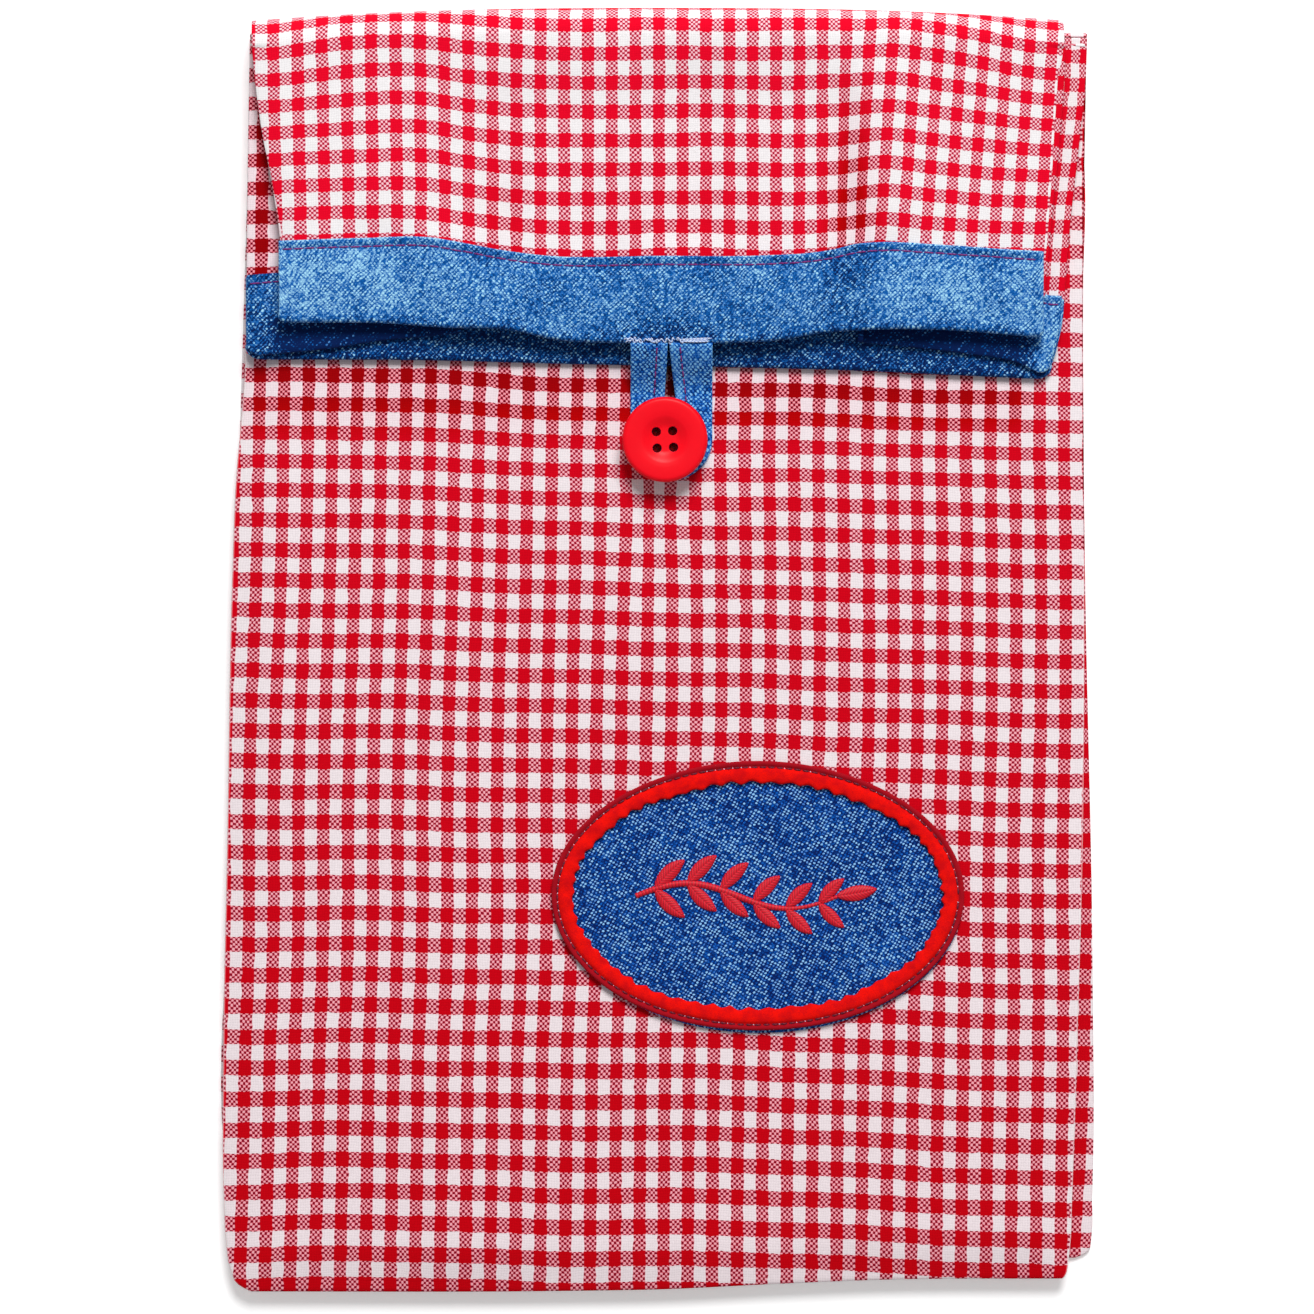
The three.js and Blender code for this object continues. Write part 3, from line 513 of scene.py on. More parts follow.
denim = {
    # tones: its dye, its common tone and its bare weft. washed: how far the dye is gone. ridges: their
    # share beside the dots'. contrast: of dots and ridges. pitch: mm between its yarns. wander: how far
    # they stray
    "band": {
        "tones": ("#001e54", "#0866bc", "#aee6ff"),
        "washed": 0.06, "ridges": 0.5, "contrast": 0.98, "pitch": 0.56, "wander": 1.4,
    },
    "loop": {
        "tones": ("#001c5c", "#0864c8", "#84ccff"),
        "washed": -0.06, "ridges": 0.3, "contrast": 1.5, "pitch": 0.6, "wander": 1.4,
    },
    "patch": {
        "tones": ("#001a5a", "#0660c6", "#98d2ff"),
        "washed": -0.34, "ridges": 0.28, "contrast": 1.4, "pitch": 0.58, "wander": 0.8,
    },
    "wanderPitch": 3.0,
    "relief": 0.1,
    "twill": -38,  # degrees that its lines lean
}


def washedDenim(name, spot):
    # light denim, indigo warp over a bleached weft: the weft shows as pale dots between blue yarns, and
    # where washing has rubbed the dye off the yarns' crowns, as pale wavering ridges along the warp
    material, tree, shader = newMaterial(name, 0.88, 0.12)
    threads, wearAndShade = wanderingThreads(tree, spot["wander"], denim["wanderPitch"])
    weftOver, bulge, uneven = yarnCells(tree, threads, spot["pitch"], spot["pitch"])
    strong = addNode(tree, "MapRange", {0: uneven, 1: 0.1, 2: 0.9, 3: 0.25, 4: 1.15})
    crown = addNode(tree, "MapRange", {0: bulge, 1: 0.1, 2: 0.8}, interpolation_type="SMOOTHSTEP")
    dot = addNode(tree, "Math", {0: strong, 1: weftOver}, operation="MULTIPLY")
    dot = addNode(tree, "Math", {0: dot, 1: 0.18}, operation="ADD")
    dot = addNode(tree, "Math", {0: dot, 1: crown}, operation="MULTIPLY")
    lean = (0, 0, math.radians(denim["twill"]))
    stretched = addNode(
        tree, "Mapping", {"Vector": threads, "Rotation": lean, "Scale": (0.5, 1.35, 1.0)},
        vector_type="TEXTURE",
    )
    ridge = addNode(tree, "TexNoise", {"Vector": stretched, "Scale": 1.0, "Detail": 3.0, "Distortion": 0.6})
    ridge = addNode(tree, "MapRange", {0: ridge, 1: 0.38, 2: 0.64}, interpolation_type="SMOOTHSTEP")
    weave = addNode(tree, "MixRGB", {0: spot["ridges"], 1: dot, 2: ridge})
    flat = addNode(tree, "VectorMath", {0: threads, 1: (1.0, 0.8, 0.0)}, operation="MULTIPLY")
    patchy = addNode(tree, "TexNoise", {"Vector": flat, "Scale": 0.09, "Detail": 3.0, "Roughness": 0.55})
    washed = addNode(tree, "Math", {0: patchy, 1: 0.7, 2: spot["washed"] - 0.35}, operation="MULTIPLY_ADD")
    # the third value lightens the blue where the cloth is worn; its negative values darken it with painted
    # shade
    washed = addNode(tree, "Math", {0: wearAndShade, 1: 0.5, 2: washed}, operation="MULTIPLY_ADD")
    # the bare weft still shows where the dye is full
    contrast = spot["contrast"]
    strength = addNode(tree, "MapRange", {0: wearAndShade, 1: 0.0, 2: -1.5, 3: contrast, 4: contrast * 1.6})
    bare = addNode(tree, "Math", {0: weave, 1: strength, 2: washed}, operation="MULTIPLY_ADD")
    toMiddle = addNode(tree, "MapRange", {0: bare, 1: 0.0, 2: 0.5})
    toPale = addNode(tree, "MapRange", {0: bare, 1: 0.5, 2: 1.1})
    dark, middle, pale = spot["tones"]
    blue = addNode(tree, "MixRGB", {0: toMiddle, 1: dark, 2: middle})
    colour = addNode(tree, "MixRGB", {0: toPale, 1: blue, 2: pale})
    finishSurface(tree, shader, colour, weave, denim["relief"])
    return material


plastic = {"red": "#ff031c", "relief": 0.03}


def mouldedPlastic():
    # injection-moulded polyester button: saturated, satin, with soft highlights and a faint flow mottle
    material, tree, shader = newMaterial("mouldedPolyesterButton", 0.38, 0.15, 1.52)
    place = addNode(tree, "TexCoord", {}).node.outputs["Object"]
    cloud = addNode(tree, "TexNoise", {"Vector": place, "Scale": 260.0, "Detail": 3.0})
    tone = addNode(tree, "MapRange", {0: cloud, 1: 0.3, 2: 0.7, 3: 0.95, 4: 1.0})
    colour = addNode(tree, "MixRGB", {0: 1.0, 1: plastic["red"], 2: tone}, blend_type="MULTIPLY")
    grain = addNode(tree, "TexNoise", {"Vector": place, "Scale": 2400.0, "Detail": 2.0})
    rough = addNode(tree, "MapRange", {0: grain, 3: 0.32, 4: 0.46})
    tree.links.new(rough, shader.inputs["Roughness"])
    finishSurface(tree, shader, colour, grain, plastic["relief"], 0.08)
    return material


felt = {
    "red": "#ff1006",
    "deep": "#d40810",
    "lip": "#a80e1e",  # outside its seam, towards the cut edge, the felt is darker
    "fibre": 0.35,
    "lipWidth": 1.5,
    "relief": 0.12,
}


def woolFelt():
    # pressed wool felt, cut from the sheet: bright and quite matt, of short fibres that lie every way
    material, tree, shader = newMaterial("pressedWoolFelt", 0.95, 0.1)
    place = addNode(tree, "TexCoord", {}).node.outputs["Object"]
    fine = 1 / (felt["fibre"] * mm)
    fibres = addNode(tree, "TexNoise", {"Vector": place, "Scale": fine, "Detail": 4.0, "Distortion": 1.2})
    clumps = addNode(tree, "TexNoise", {"Vector": place, "Scale": fine / 9, "Detail": 2.0})
    share = addNode(tree, "Math", {0: fibres, 1: clumps}, operation="MULTIPLY")
    share = addNode(tree, "MapRange", {0: share, 1: 0.14, 2: 0.34, 3: 0.0, 4: 1.0})
    red = addNode(tree, "MixRGB", {0: share, 1: felt["deep"], 2: felt["red"]})
    inset = addNode(tree, "SeparateXYZ", {0: threadPlaces(tree)})
    width = felt["lipWidth"]
    lip = addNode(tree, "MapRange", {0: inset, 1: width + 0.3, 2: width - 0.3})
    red = addNode(tree, "MixRGB", {0: lip, 1: red, 2: felt["lip"]})
    finishSurface(tree, shader, red, fibres, felt["relief"])
    return material


yarn = {
    "ply": 0.45,  # mm between the turns of a thread's strands
    "relief": 0.06,
}


def twistedThread(name, light, dark, roughness):
    # mercerised sewing thread, twisted of fine strands: a soft gloss, and slanting dark lines between them
    material, tree, shader = newMaterial(name, roughness, 0.3)
    along = addNode(tree, "SeparateXYZ", {0: threadPlaces(tree)})
    turns = addNode(tree, "Math", {0: along, 1: 1 / yarn["ply"]}, operation="MULTIPLY")
    turns = addNode(tree, "Math", {0: along.node.outputs[1], 1: 2.0, 2: turns}, operation="MULTIPLY_ADD")
    twist = addNode(tree, "Math", {0: turns, 1: 1.0}, operation="PINGPONG")
    tone = addNode(tree, "MapRange", {0: twist, 1: 0.05, 2: 0.6, 3: 0.0, 4: 1.0})
    colour = addNode(tree, "MixRGB", {0: tone, 1: dark, 2: light})
    finishSurface(tree, shader, colour, twist, yarn["relief"])
    return material


ginghamCloth = ginghamCotton()
bandDenim = washedDenim("washedBandDenim", denim["band"])
loopDenim = washedDenim("washedLoopDenim", denim["loop"])
patchDenim = washedDenim("washedPatchDenim", denim["patch"])
buttonPlastic = mouldedPlastic()
redFelt = woolFelt()
seamThread = twistedThread("violetRedSeamThread", "#8c2c7c", "#56246a", 0.65)
satinThread = twistedThread("redEmbroideryThread", "#e2102a", "#9a0a1e", 0.5)
# its dark tone is partly painted shade of the groove in the felt that it sinks into
ringThread = twistedThread("wineSeamThread", "#7c1026", "#3a0c2a", 0.6)
# dark, so that the thread that fills the button's holes reads as their shade
shankThread = twistedThread("darkShankThreadShadingHoles", "#7a0c14", "#34060a", 0.6)
paleThread = twistedThread("paleTackThread", "#dce8ff", "#7c9cdc", 0.5)
print("materials made")


# Where the threads of each cloth lie: red checks are centred on whole multiples of two checks

repeatAcross = 2 * gingham["checkAcross"]
repeatAlong = 2 * gingham["checkAlong"]
lattice = {
    # the front's red columns: x of one at the height topRow, how far it lies to the left a mm lower, the
    # distance to the next, and how much that grows a mm lower
    "topRow": 48.0, "firstColumn": -102.7, "columnLean": 0.0240, "columnPitch": 6.228, "pitchGrowth": 0.0006,
    # its red rows: y of one, the distance to the next, and how much that grows from row to row
    "firstRow": -13.2, "rowPitch": 7.69, "rowGrowth": 0.001,
    # the flap's red rows, and how far its columns lean at its right and at its left
    "flapRow": 135.95, "flapRowPitch": 7.2, "flapLean": 2.8, "flapLeanLeft": 0.8,
    "sway": 0.18,  # how far the front's columns wander to both sides
    "gather": 0.9,  # how far the button pulls the columns below itself together
    "sag": 0.22,  # how far its rows wander up and down, in long and in short waves
    "fineSag": 0.15,
}
toneAndShade = {  # 0 is the bag's body and 1 the flap, whose tone is painted lighter, as in full light; the shade values paint the cloth darker, as in shade
    "body": 0.4,
    "paintedLightUpward": 0.0014,  # painted light: how much lighter the body grows a mm up the bag
    # painted shade on the front below the flap's band, and in the loop's slit
    "shadeBelowFlap": 1.15,
    "shadeInSlit": 1.9,
    "shadeInCrease": 1.4,  # painted shade in the flap's crease over the right gusset
    "shadeInDents": 0.3,  # painted shade in the flap's dents
    "shadeOnFold": 2.2,  # painted shade along the top of the gussets' fold
}
# how far the front wall's rows hang down across the bag, at four heights
frontDrops = (
    (64, throughPoints(
        (-104, 0.6), (-81, 0.6), (-64, 1.1), (-28, 3.2), (-10, 3.6), (28, 4.6), (81, 6.8), (104, 6.6),
    )),
    (42, throughPoints(
        (-104, -0.3), (-81, -0.3), (-46, 1.5), (-10, 2.6), (28, 3.4), (63, 4.4), (81, 5.2), (104, 5.2),
    )),
    (5, throughPoints(
        (-104, -0.1), (-81, -0.2), (-28, 1.7), (-10, 2.1), (10, 2.2), (46, 3.5), (81, 5.1), (104, 5.5),
    )),
    (-95, throughPoints(
        (-104, 0), (-64, -0.5), (-46, -0.1), (-28, 0.5), (-10, 0.7), (46, 1.9), (81, 3.5), (104, 4.7),
    )),
)
# how far its columns stray to the right, up the bag, in its left half and in its right half
strayLeft = throughPoints((-101, 0.7), (-86, 1.1), (-66, 1.1), (-40, 0.4), (-20, 0.2), (20, 0.6), (64, 0.6))
strayRight = throughPoints(
    (-86, 0.1), (-66, -0.2), (-40, 0.1), (-20, 0.6), (0, 0.65), (35, 0.1), (48, -0.3), (64, -0.35),
)
# how far the flap's checks hang down at the fold and at the band, across the bag
flapDropHigh = throughPoints(
    (-98, -0.2), (-85, -2.2), (-73, -3.1), (-60, -3.2), (-48, -1.7), (-36, -0.6), (0, -0.4), (40, -0.4),
    (50, -0.6), (58, -1.1), (70, 0.3), (81, 2.3), (93, 4.8), (105, 5.8),
)
flapDropLow = throughPoints(
    (-98, -3.0), (-85, -3.1), (-60, -3.2), (-48, -1.4), (-36, -0.1), (-13, 0.6), (10, 0.0), (35, 0.6),
    (46, -0.4), (56, -1.7), (67, -0.5), (79, 0.2), (93, 0.7),
)
flapColumn = throughPoints(
    (-104, -1.02), (-97.8, 0), (-60.7, 6), (-0.3, 16), (46.9, 24), (93.2, 32), (104, 33.9),
)


def frontThreads(x, y):
    # the front wall's checks: rows that sag to the right, columns that spread towards the bottom
    spot = lattice
    below = spot["topRow"] - y
    sag = frontDrops[0][1](x)
    for (high, _), (low, curve) in zip(frontDrops, frontDrops[1:]):
        sag = mixOf(sag, curve(x), np.clip((high - y) / (high - low), 0, 1))
    sag = sag + spot["sag"] * np.sin(x / 17.0 + y / 60.0)
    sag = sag + spot["fineSag"] * np.sin(x / 7.3 - y / 45.0 + 1.0)
    row = (spot["firstRow"] - (y + sag)) / spot["rowPitch"]
    row = row - spot["rowGrowth"] * row * row
    pull = spot["gather"] * hump(-2, 10, x) * hump(34, 14, y) * np.sin((x + 2) / 5.0)
    lean = spot["firstColumn"] - spot["columnLean"] * below
    stray = mixOf(strayLeft(y), strayRight(y), easeBetween(-15, 15, x))
    sway = spot["sway"] * np.sin(y / 23.0 + x / 50.0) + pull - stray
    column = (x + sway - lean) / (spot["columnPitch"] + spot["pitchGrowth"] * below)
    # painted shade: the front is painted darker below the flap's band and in the loop's slit
    paintedShade = toneAndShade["shadeBelowFlap"] * easeBetween(50, 68, y) * (1 - easeBetween(88, 98, x))
    paintedShade = paintedShade + toneAndShade["shadeInSlit"] * hump(2.6, 2.6, x) * easeBetween(58, 66, y)
    # painted light: the body's tone grows lighter up the bag
    wearAndShade = toneAndShade["body"] + toneAndShade["paintedLightUpward"] * (y + 30) - paintedShade * (1 - easeBetween(78, 92, y))
    return stacked(column * repeatAcross, -row * repeatAlong, wearAndShade)


def flapThreads(x, y):
    # the flap's checks, which close up towards its middle and dip over the gussets' creases
    t = np.clip((150 - y) / 43, -0.3, 1.15)
    drop = mixOf(flapDropHigh(x), flapDropLow(x), t) + 0.12 * np.sin(x / 6.1 + y / 9.0)
    row = (lattice["flapRow"] - (y + drop)) / lattice["flapRowPitch"]
    lean = lattice["flapLean"] * easeBetween(40, 56, x) * t
    lean = lean - lattice["flapLeanLeft"] * (1 - easeBetween(-98, -40, x)) * t
    # painted shade in the flap's crease over the right gusset and in its dents
    paintedShade = toneAndShade["shadeInCrease"] * hump(48.5, 6, x) + toneAndShade["shadeInDents"] * (hump(-40, 8, x) + hump(6, 34, x))
    return stacked(flapColumn(x + lean) * repeatAcross, -row * repeatAlong, 1 - paintedShade * np.clip(t, 0, 1))


# Walls of the bag

walls = {
    "edgeSink": 1.5,  # how far the bag thins towards its sides and bottom
    "edgeReach": 11,
    "wave": 0.42,  # height of the front's long waves
    "creaseLift": 0.35,  # and of its raised lines over the gussets' creases
    "dimple": 0.5,  # depth of the valley that the button pulls below itself
    "slit": 1.9,  # how far the cloth sinks in the loop's slit
    "wornEdge": 0.45,  # width of the pale worn line along each side
    "innerWidth": 212.0,  # of the front wall inside the fold
    "backSwell": 0.25,  # how far the back wall rises between the places that it lies on
    "baseEnds": (-104.5, 101.0),  # x of the base's seams at its outer edge
    "intoBand": 1.2,  # how far a wall's end stays short of the mouth's edge, inside its band
    "seam": 104.0,  # x of the gussets' seams, about
    "bodySeam": 107.0,  # the same where the bag is widest
    "seamDip": 0.28,  # how far a gusset's leaf bends to its seam
}
flap = {
    "sink": 1.25,  # how far it lies lower between the gussets' creases
    "rightDent": 0.55,  # the deeper dents beside the creases
    "leftDent": 0.3,
    "rightShoulder": 0.45,  # and the raised lines outside them
    "leftShoulder": 0.5,
    "ripple": 0.3,
    "fineRipple": 0.16,
}


def thinning(fromEdge, y):
    # the bag is thinner towards its sides and bottom; round the fold it keeps its thickness
    near = 1 - easeBetween(-2, walls["edgeReach"], fromEdge)
    return -walls["edgeSink"] * near * easeBetween(fold["y"] - 4, fold["y"] - 40, y)


def bellyHeight(x, y):
    # the front wall's own shape: long soft waves, a raised line over each gusset's crease, and a valley that
    # the button pulls below itself
    wave = 0.5 * np.sin(x / 21.0 + y / 47.0 + 0.6) + 0.35 * np.sin(y / 26.0 - x / 60.0)
    wave = wave + 0.12 * np.sin(x / 9.5 + 0.8)
    lift = hump(creases["left"], 7, x) * easeBetween(70, 20, y) + hump(creases["right"], 6, x)
    pull = hump(-4, 2.6, x) * easeBetween(6, 26, y) * easeBetween(52, 40, y)
    pull = pull + 0.7 * hump(9, 3.5, x) * easeBetween(14, 28, y) * easeBetween(52, 38, y)
    slit = hump(2.6, 2.3, x) * easeBetween(57, 64, y) * easeBetween(92, 84, y)
    flat = 1 - 0.75 * hump(24, 52, x) * hump(-62, 36, y)
    shape = (walls["wave"] * wave + walls["creaseLift"] * lift) * flat
    return shape - walls["dimple"] * pull - walls["slit"] * slit


def frontWallPiece():
    top, length = fold["y"], fold["y"] - frontBottom(0)
    share = evenly(length) / length
    width = 2 * -outline["front"]["left"](-100)
    left = outline["front"]["left"](mixOf(frontBottom(-108), top, share))[:, None]
    right = outline["front"]["right"](mixOf(frontBottom(104), top, share))[:, None]
    x = mixOf(left, right, evenly(width) / width)
    bottom = frontBottom(x)
    y = mixOf(bottom, top, share[:, None])
    fromSide = np.minimum(x - left, right - x)
    fromEdge = np.minimum(fromSide, y - bottom)
    calm = easeBetween(0, 14, np.minimum(fromEdge, top - 20 - y))
    z = levels["front"] + bellyHeight(x, y) * calm + roundedEdge(fromEdge) + thinning(fromEdge, y)
    threads = frontThreads(x, y)
    # the side edges' folds are worn pale, but for a stretch beside the flap on the right, which is painted in
    # shade instead
    edgeWearAndShade = np.where((x > 0) & (y > 25), -1.5, 1.5)
    threads[..., 2] = np.where(fromSide < walls["wornEdge"], edgeWearAndShade, threads[..., 2])
    piece = clothPiece("front_wall", stacked(x, y, z), threads)
    dress(piece, ginghamCloth, ("front_panel_upper", "front_panel_lower"))
    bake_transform(piece)
    return piece


def foldBow(x):
    return fold["bow"] * np.clip(np.abs(x) / 105, 0, 1.1) ** 2.6


def flapHeight(x, y):
    # the flap's own shape: it lies higher over the gussets' leaves and sinks between their creases
    down = np.clip((fold["y"] - y) / 60, 0, 1)
    middle = easeBetween(-60, -38, x) * (1 - easeBetween(45, 53, x))
    dents = flap["rightDent"] * hump(46.5, 3.2, x) + flap["leftDent"] * hump(-40, 5, x)
    sink = -(flap["sink"] * middle + dents) * easeBetween(0, 0.35, down)
    ripple = flap["ripple"] * np.sin(x / 13.0 + 0.7) * np.sin(y / 31.0 + 0.3)
    ripple = ripple + flap["fineRipple"] * np.sin(x / 5.2 + y / 40.0)
    shoulder = flap["leftShoulder"] * hump(-69, 9, x) * down + flap["rightShoulder"] * hump(59, 6, x) * down
    return sink + ripple * easeBetween(0, 0.2, down) + shoulder


def backWallPiece():
    # one cloth: up the back, round the fold, and down the outside of the flap into the band
    bottom, top, radius = backBottom, fold["y"], fold["outerRadius"]
    width = 2 * outline["back"]["right"](-100)
    across = evenly(width) / width
    rows, threads = [], []
    for y in bottom + evenly(top - bottom)[:-1]:
        x = acrossWall("back", y, across)
        edge = np.minimum(np.minimum(x - x[0], x[-1] - x), y - bottom)
        swell = walls["backSwell"] * (1 + np.sin(x / 23.0 + y / 31.0)) * easeBetween(4, 26, edge)
        z = levels["back"] + swell * easeBetween(-1, 12, top - y)
        rows.append(stacked(x, y - foldBow(x) * easeBetween(top - 60, top, y), z))
        threads.append(frontThreads(-x, y))
    xBack, xFlap = acrossWall("back", top, across), acrossWall("flap", top, across)
    for turn in arc(25):
        t = turn / math.pi + 0.5
        x = mixOf(xBack, xFlap, easeBetween(0, 1, t))
        bowed = top - foldBow(x)
        rows.append(stacked(x, bowed + radius * math.cos(turn), fold["z"] + radius * math.sin(turn)))
        threads.append(flapThreads(x, bowed + (1 - t) * math.pi * radius))
    flapLength = top - mouth["back"](0) - 1
    for share in evenly(flapLength)[1:] / flapLength:
        x = acrossWall("flap", mixOf(top, mouth["back"](0) + 1, share), across)
        y = mixOf(top - foldBow(x), mouth["back"](x) + walls["intoBand"], share)
        edge = np.minimum(x - x[0], x[-1] - x)
        inBand = (y - mouth["back"](x)) / mouth["bandHeight"]
        bandShape = outerBandShape(x, np.clip(inBand, 0, 1))
        shape = mixOf(bandShape, flapHeight(x, y), easeBetween(1.0, 1.5, inBand))
        z = levels["outerFlap"] + shape + roundedEdge(edge) - 0.5 * (1 - easeBetween(0, 5, edge))
        rows.append(stacked(x, y, z))
        threads.append(flapThreads(x, y))
    piece = clothPiece("back_wall", rows, threads)
    dress(piece, ginghamCloth, ("back_panel", "fold_back_wall", "flap_back_wall"))
    bendsAtFold(piece)
    declareSheet(piece)


def innerFlapPieces():
    # the front wall's stretch round the fold, tight inside the others, and on to the front band
    width, radius, top = walls["innerWidth"], fold["innerRadius"], fold["y"]
    across = evenly(width, 4) / width
    x = acrossWall("front", top, across)
    turns = arc(9)[:, None]
    middle = stacked(x, top + radius * np.cos(turns), fold["z"] + radius * np.sin(turns))
    strip = clothPiece("front_wall_fold", middle, frontThreads(x, top + radius * turns))
    dress(strip, ginghamCloth, ("fold_front_wall",))
    bendsAtFold(strip, levels["front"], levels["innerFlap"])
    top, low = top - 0.3, mouth["front"](0)
    rows, threads = [], []
    for share in evenly(top - low, 3) / (top - low):
        x = acrossWall("innerFlap", mixOf(top, low, share), across)
        y = mixOf(top, mouth["front"](x) + walls["intoBand"] + 13 * easeBetween(86, 99, x), share)
        rows.append(stacked(x, y, levels["innerFlap"]))
        threads.append(flapThreads(x, y))
    wall = clothPiece("inner_flap_wall", rows, threads)
    dress(wall, ginghamCloth, ("flap_front_wall",), "flap_front")
    declareSheet(wall)
    return strip


# Walls that are folded inwards

leafShares = np.concatenate([[0, 0.012, 0.03, 0.06], np.linspace(0.1, 1, 18)])
gussets = {
    "left": {
        "sign": -1, "foldEnds": (-103.9, -103.0, -104.0),
        # the left strip's negative wear value paints it in shade, a darker red
        "inset": 3.7, "row": 102.4, "narrow": 1.0, "wearAndShade": -0.7, "slant": 0.0,
        "mouth": throughPoints(
            (-105, 74.4), (-99.5, 74.8), (-84, 76.3), (-71, 78.3), (-56, 79.7), (-50, 80.4),
        ),
    },
    "right": {
        "sign": 1, "foldEnds": (101.6, 101.6, 107.8),
        "inset": 5.0, "row": 92.8, "narrow": 1.42, "wearAndShade": 0.8, "slant": 3.2,
        "mouth": throughPoints(
            (50, 78.0), (58, 77.2), (76, 75.2), (91, 72.6), (98.4, 69.3), (102, 69.2),
        ),
    },
}
# the red column of checks that shows on the right gusset beyond the front wall
gussetColumn = throughPoints(
    (-150, 105.7), (-137, 106.7), (-113, 107.8), (-89, 108.4), (20, 108.6), (158, 108.6),
)


def leafSection(zLow, zHigh, seamDip=0.0):
    # across a wall that is folded inwards: the low leaf from its edge to the crease, round it, and back;
    # each as share along the leaf, height, and how far round the crease, with the edges turned to the seams
    dip = seamDip * (1 - easeBetween(0, 0.06, leafShares))
    turn = arc(9)[1:-1]
    bend = (zLow + zHigh) / 2 + (zHigh - zLow) / 2 * np.sin(turn)
    return (
        (leafShares, zLow - dip, 0.0),
        (np.ones(len(turn)), bend, np.cos(turn)),
        (leafShares[::-1], zHigh + dip[::-1], 0.0),
    )


def gussetGrid(side, ys, edgeLow, edgeHigh, crease, lean, heights, seamDip, threadsAt):
    # rows of a folded side wall; lean(x, y) moves a point of a straight row up to the slanting one
    radius = (heights[1] - heights[0]) / 2
    rows, threads = [], []
    for y in ys:
        row, place = [], []
        for (share, z, bent), edge in zip(leafSection(*heights, seamDip), (edgeLow, edgeHigh, edgeHigh)):
            x = mixOf(edge(y), crease + side * radius * (1 - bent), share)
            row.append(stacked(x, lean(x, y), z))
            place.append(threadsAt(x, lean(x, y), edge(y), edge is edgeLow))
        rows.append(np.concatenate(row))
        threads.append(np.concatenate(place))
    return np.array(rows), np.array(threads)


def leafPieces(
    name, grids, node, lowToChild, edge, crease,
    axis=1, material=ginghamCloth, thickness=cloth["cotton"], riders=(),
):
    # a wall folded inwards, made as two pieces, its low leaf and its high leaf, with the riders baked
    # alongside the low one; lowToChild tells that the low leaf is sewn to the child body
    edge, crease = np.array(edge) * mm, np.array(crease) * mm
    seam, beyond = tuple(edge), tuple(2 * crease - edge)
    middle, last = len(leafShares) + 3, grids[0].shape[axis]
    low, high = range(middle + 1), range(middle, last)
    for part, span, toChild in (("low_leaf", low, lowToChild), ("high_leaf", high, not lowToChild)):
        points, threads = (grid.take(span, axis) for grid in grids)
        piece = clothPiece(name + "_" + part, points, threads, thickness)
        dress(piece, material, (node,))
        start, end = (beyond, seam) if toChild else (seam, beyond)
        withPieces = list(riders) if part == "low_leaf" else []
        for each in [piece] + withPieces:
            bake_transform(each)
            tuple(start)
            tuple(end)
        declareSheet(piece, withPieces)


def leanTo(lowLine, yBottom, yTop):
    # squeezes rows up above a slanting bottom edge
    return lambda x, y: mixOf(lowLine(x), yTop, (y - yBottom) / (yTop - yBottom))


def bodyGussets(name):
    side, crease = gussets[name]["sign"], creases[name]
    edgeLow, edgeHigh = outline["back"][name], outline["front"][name]
    heights = levels["gusset"]

    def threadsAt(x, y, edgeX, isLow):
        across = (x - gussetColumn(y)) * 1.02 if side > 0 and isLow else abs(x - edgeX) + 2.4
        place = frontThreads(side * x, y)
        return stacked(across, place[..., 1], place[..., 2])

    def lowLine(x):
        # the mitre, where this wall is sewn to the base
        seam = side * walls["seam"]
        return mixOf(backBottom + 0.1, baseCrease, np.clip((x - seam) / (crease - seam), 0, 1))

    def rowsBetween(yLow, yHigh, lean):
        ys = yLow + evenly(yHigh - yLow, 4)
        rows, threads = gussetGrid(
            side, ys, edgeLow, edgeHigh, crease, lean, heights, walls["seamDip"], threadsAt,
        )
        fromSide = np.abs(rows[..., 0] - edgeHigh(rows[..., 1]))
        upper = easeBetween(heights[0] + 0.5, heights[1], rows[..., 2])
        rows[..., 2] += thinning(fromSide, rows[..., 1]) * upper
        return rows, threads

    node, top = "gusset_" + name, hinge["y"] - hinge["gap"]
    grids = rowsBetween(backBottom, top, leanTo(lowLine, backBottom, top))
    leafPieces(
        node, grids, node, False, (side * walls["bodySeam"], 0, 0),
        (crease, 0, 0),
    )
    grids = rowsBetween(hinge["y"] + hinge["gap"], fold["y"] - 0.4, lambda x, y: y)
    piece = clothPiece(node + "_upper", *grids)
    dress(piece, ginghamCloth, (node,), "bag_body")
    declareSheet(piece)


def basePiece():
    # the bottom of the bag, folded inwards between the gussets' mitres
    heights = levels["gusset"]
    radius = (heights[1] - heights[0]) / 2
    columns = np.linspace(0, 1, 70)
    rows, threads = [], []
    for part, isLow in zip(leafSection(*heights, walls["seamDip"]), (True, False, False)):
        for share, z, bent in zip(*np.broadcast_arrays(*part)):
            xLeft = mixOf(walls["baseEnds"][0], creases["left"] + 0.8, share)
            xRight = mixOf(walls["baseEnds"][1], creases["right"] - 0.8, share)
            x = mixOf(xLeft, xRight, columns)
            edge = backBottom if isLow else frontBottom(x) + 0.3
            y = mixOf(edge, baseCrease - radius * (1 - bent), share)
            rows.append(stacked(x, y, z if isLow else z + thinning(y - edge, y)))
            threads.append(frontThreads(x, y))
    leafPieces(
        "base", (np.array(rows), np.array(threads)), "base_panel", False,
        (0, backBottom, 0), (0, baseCrease, 0), axis=0,
    )


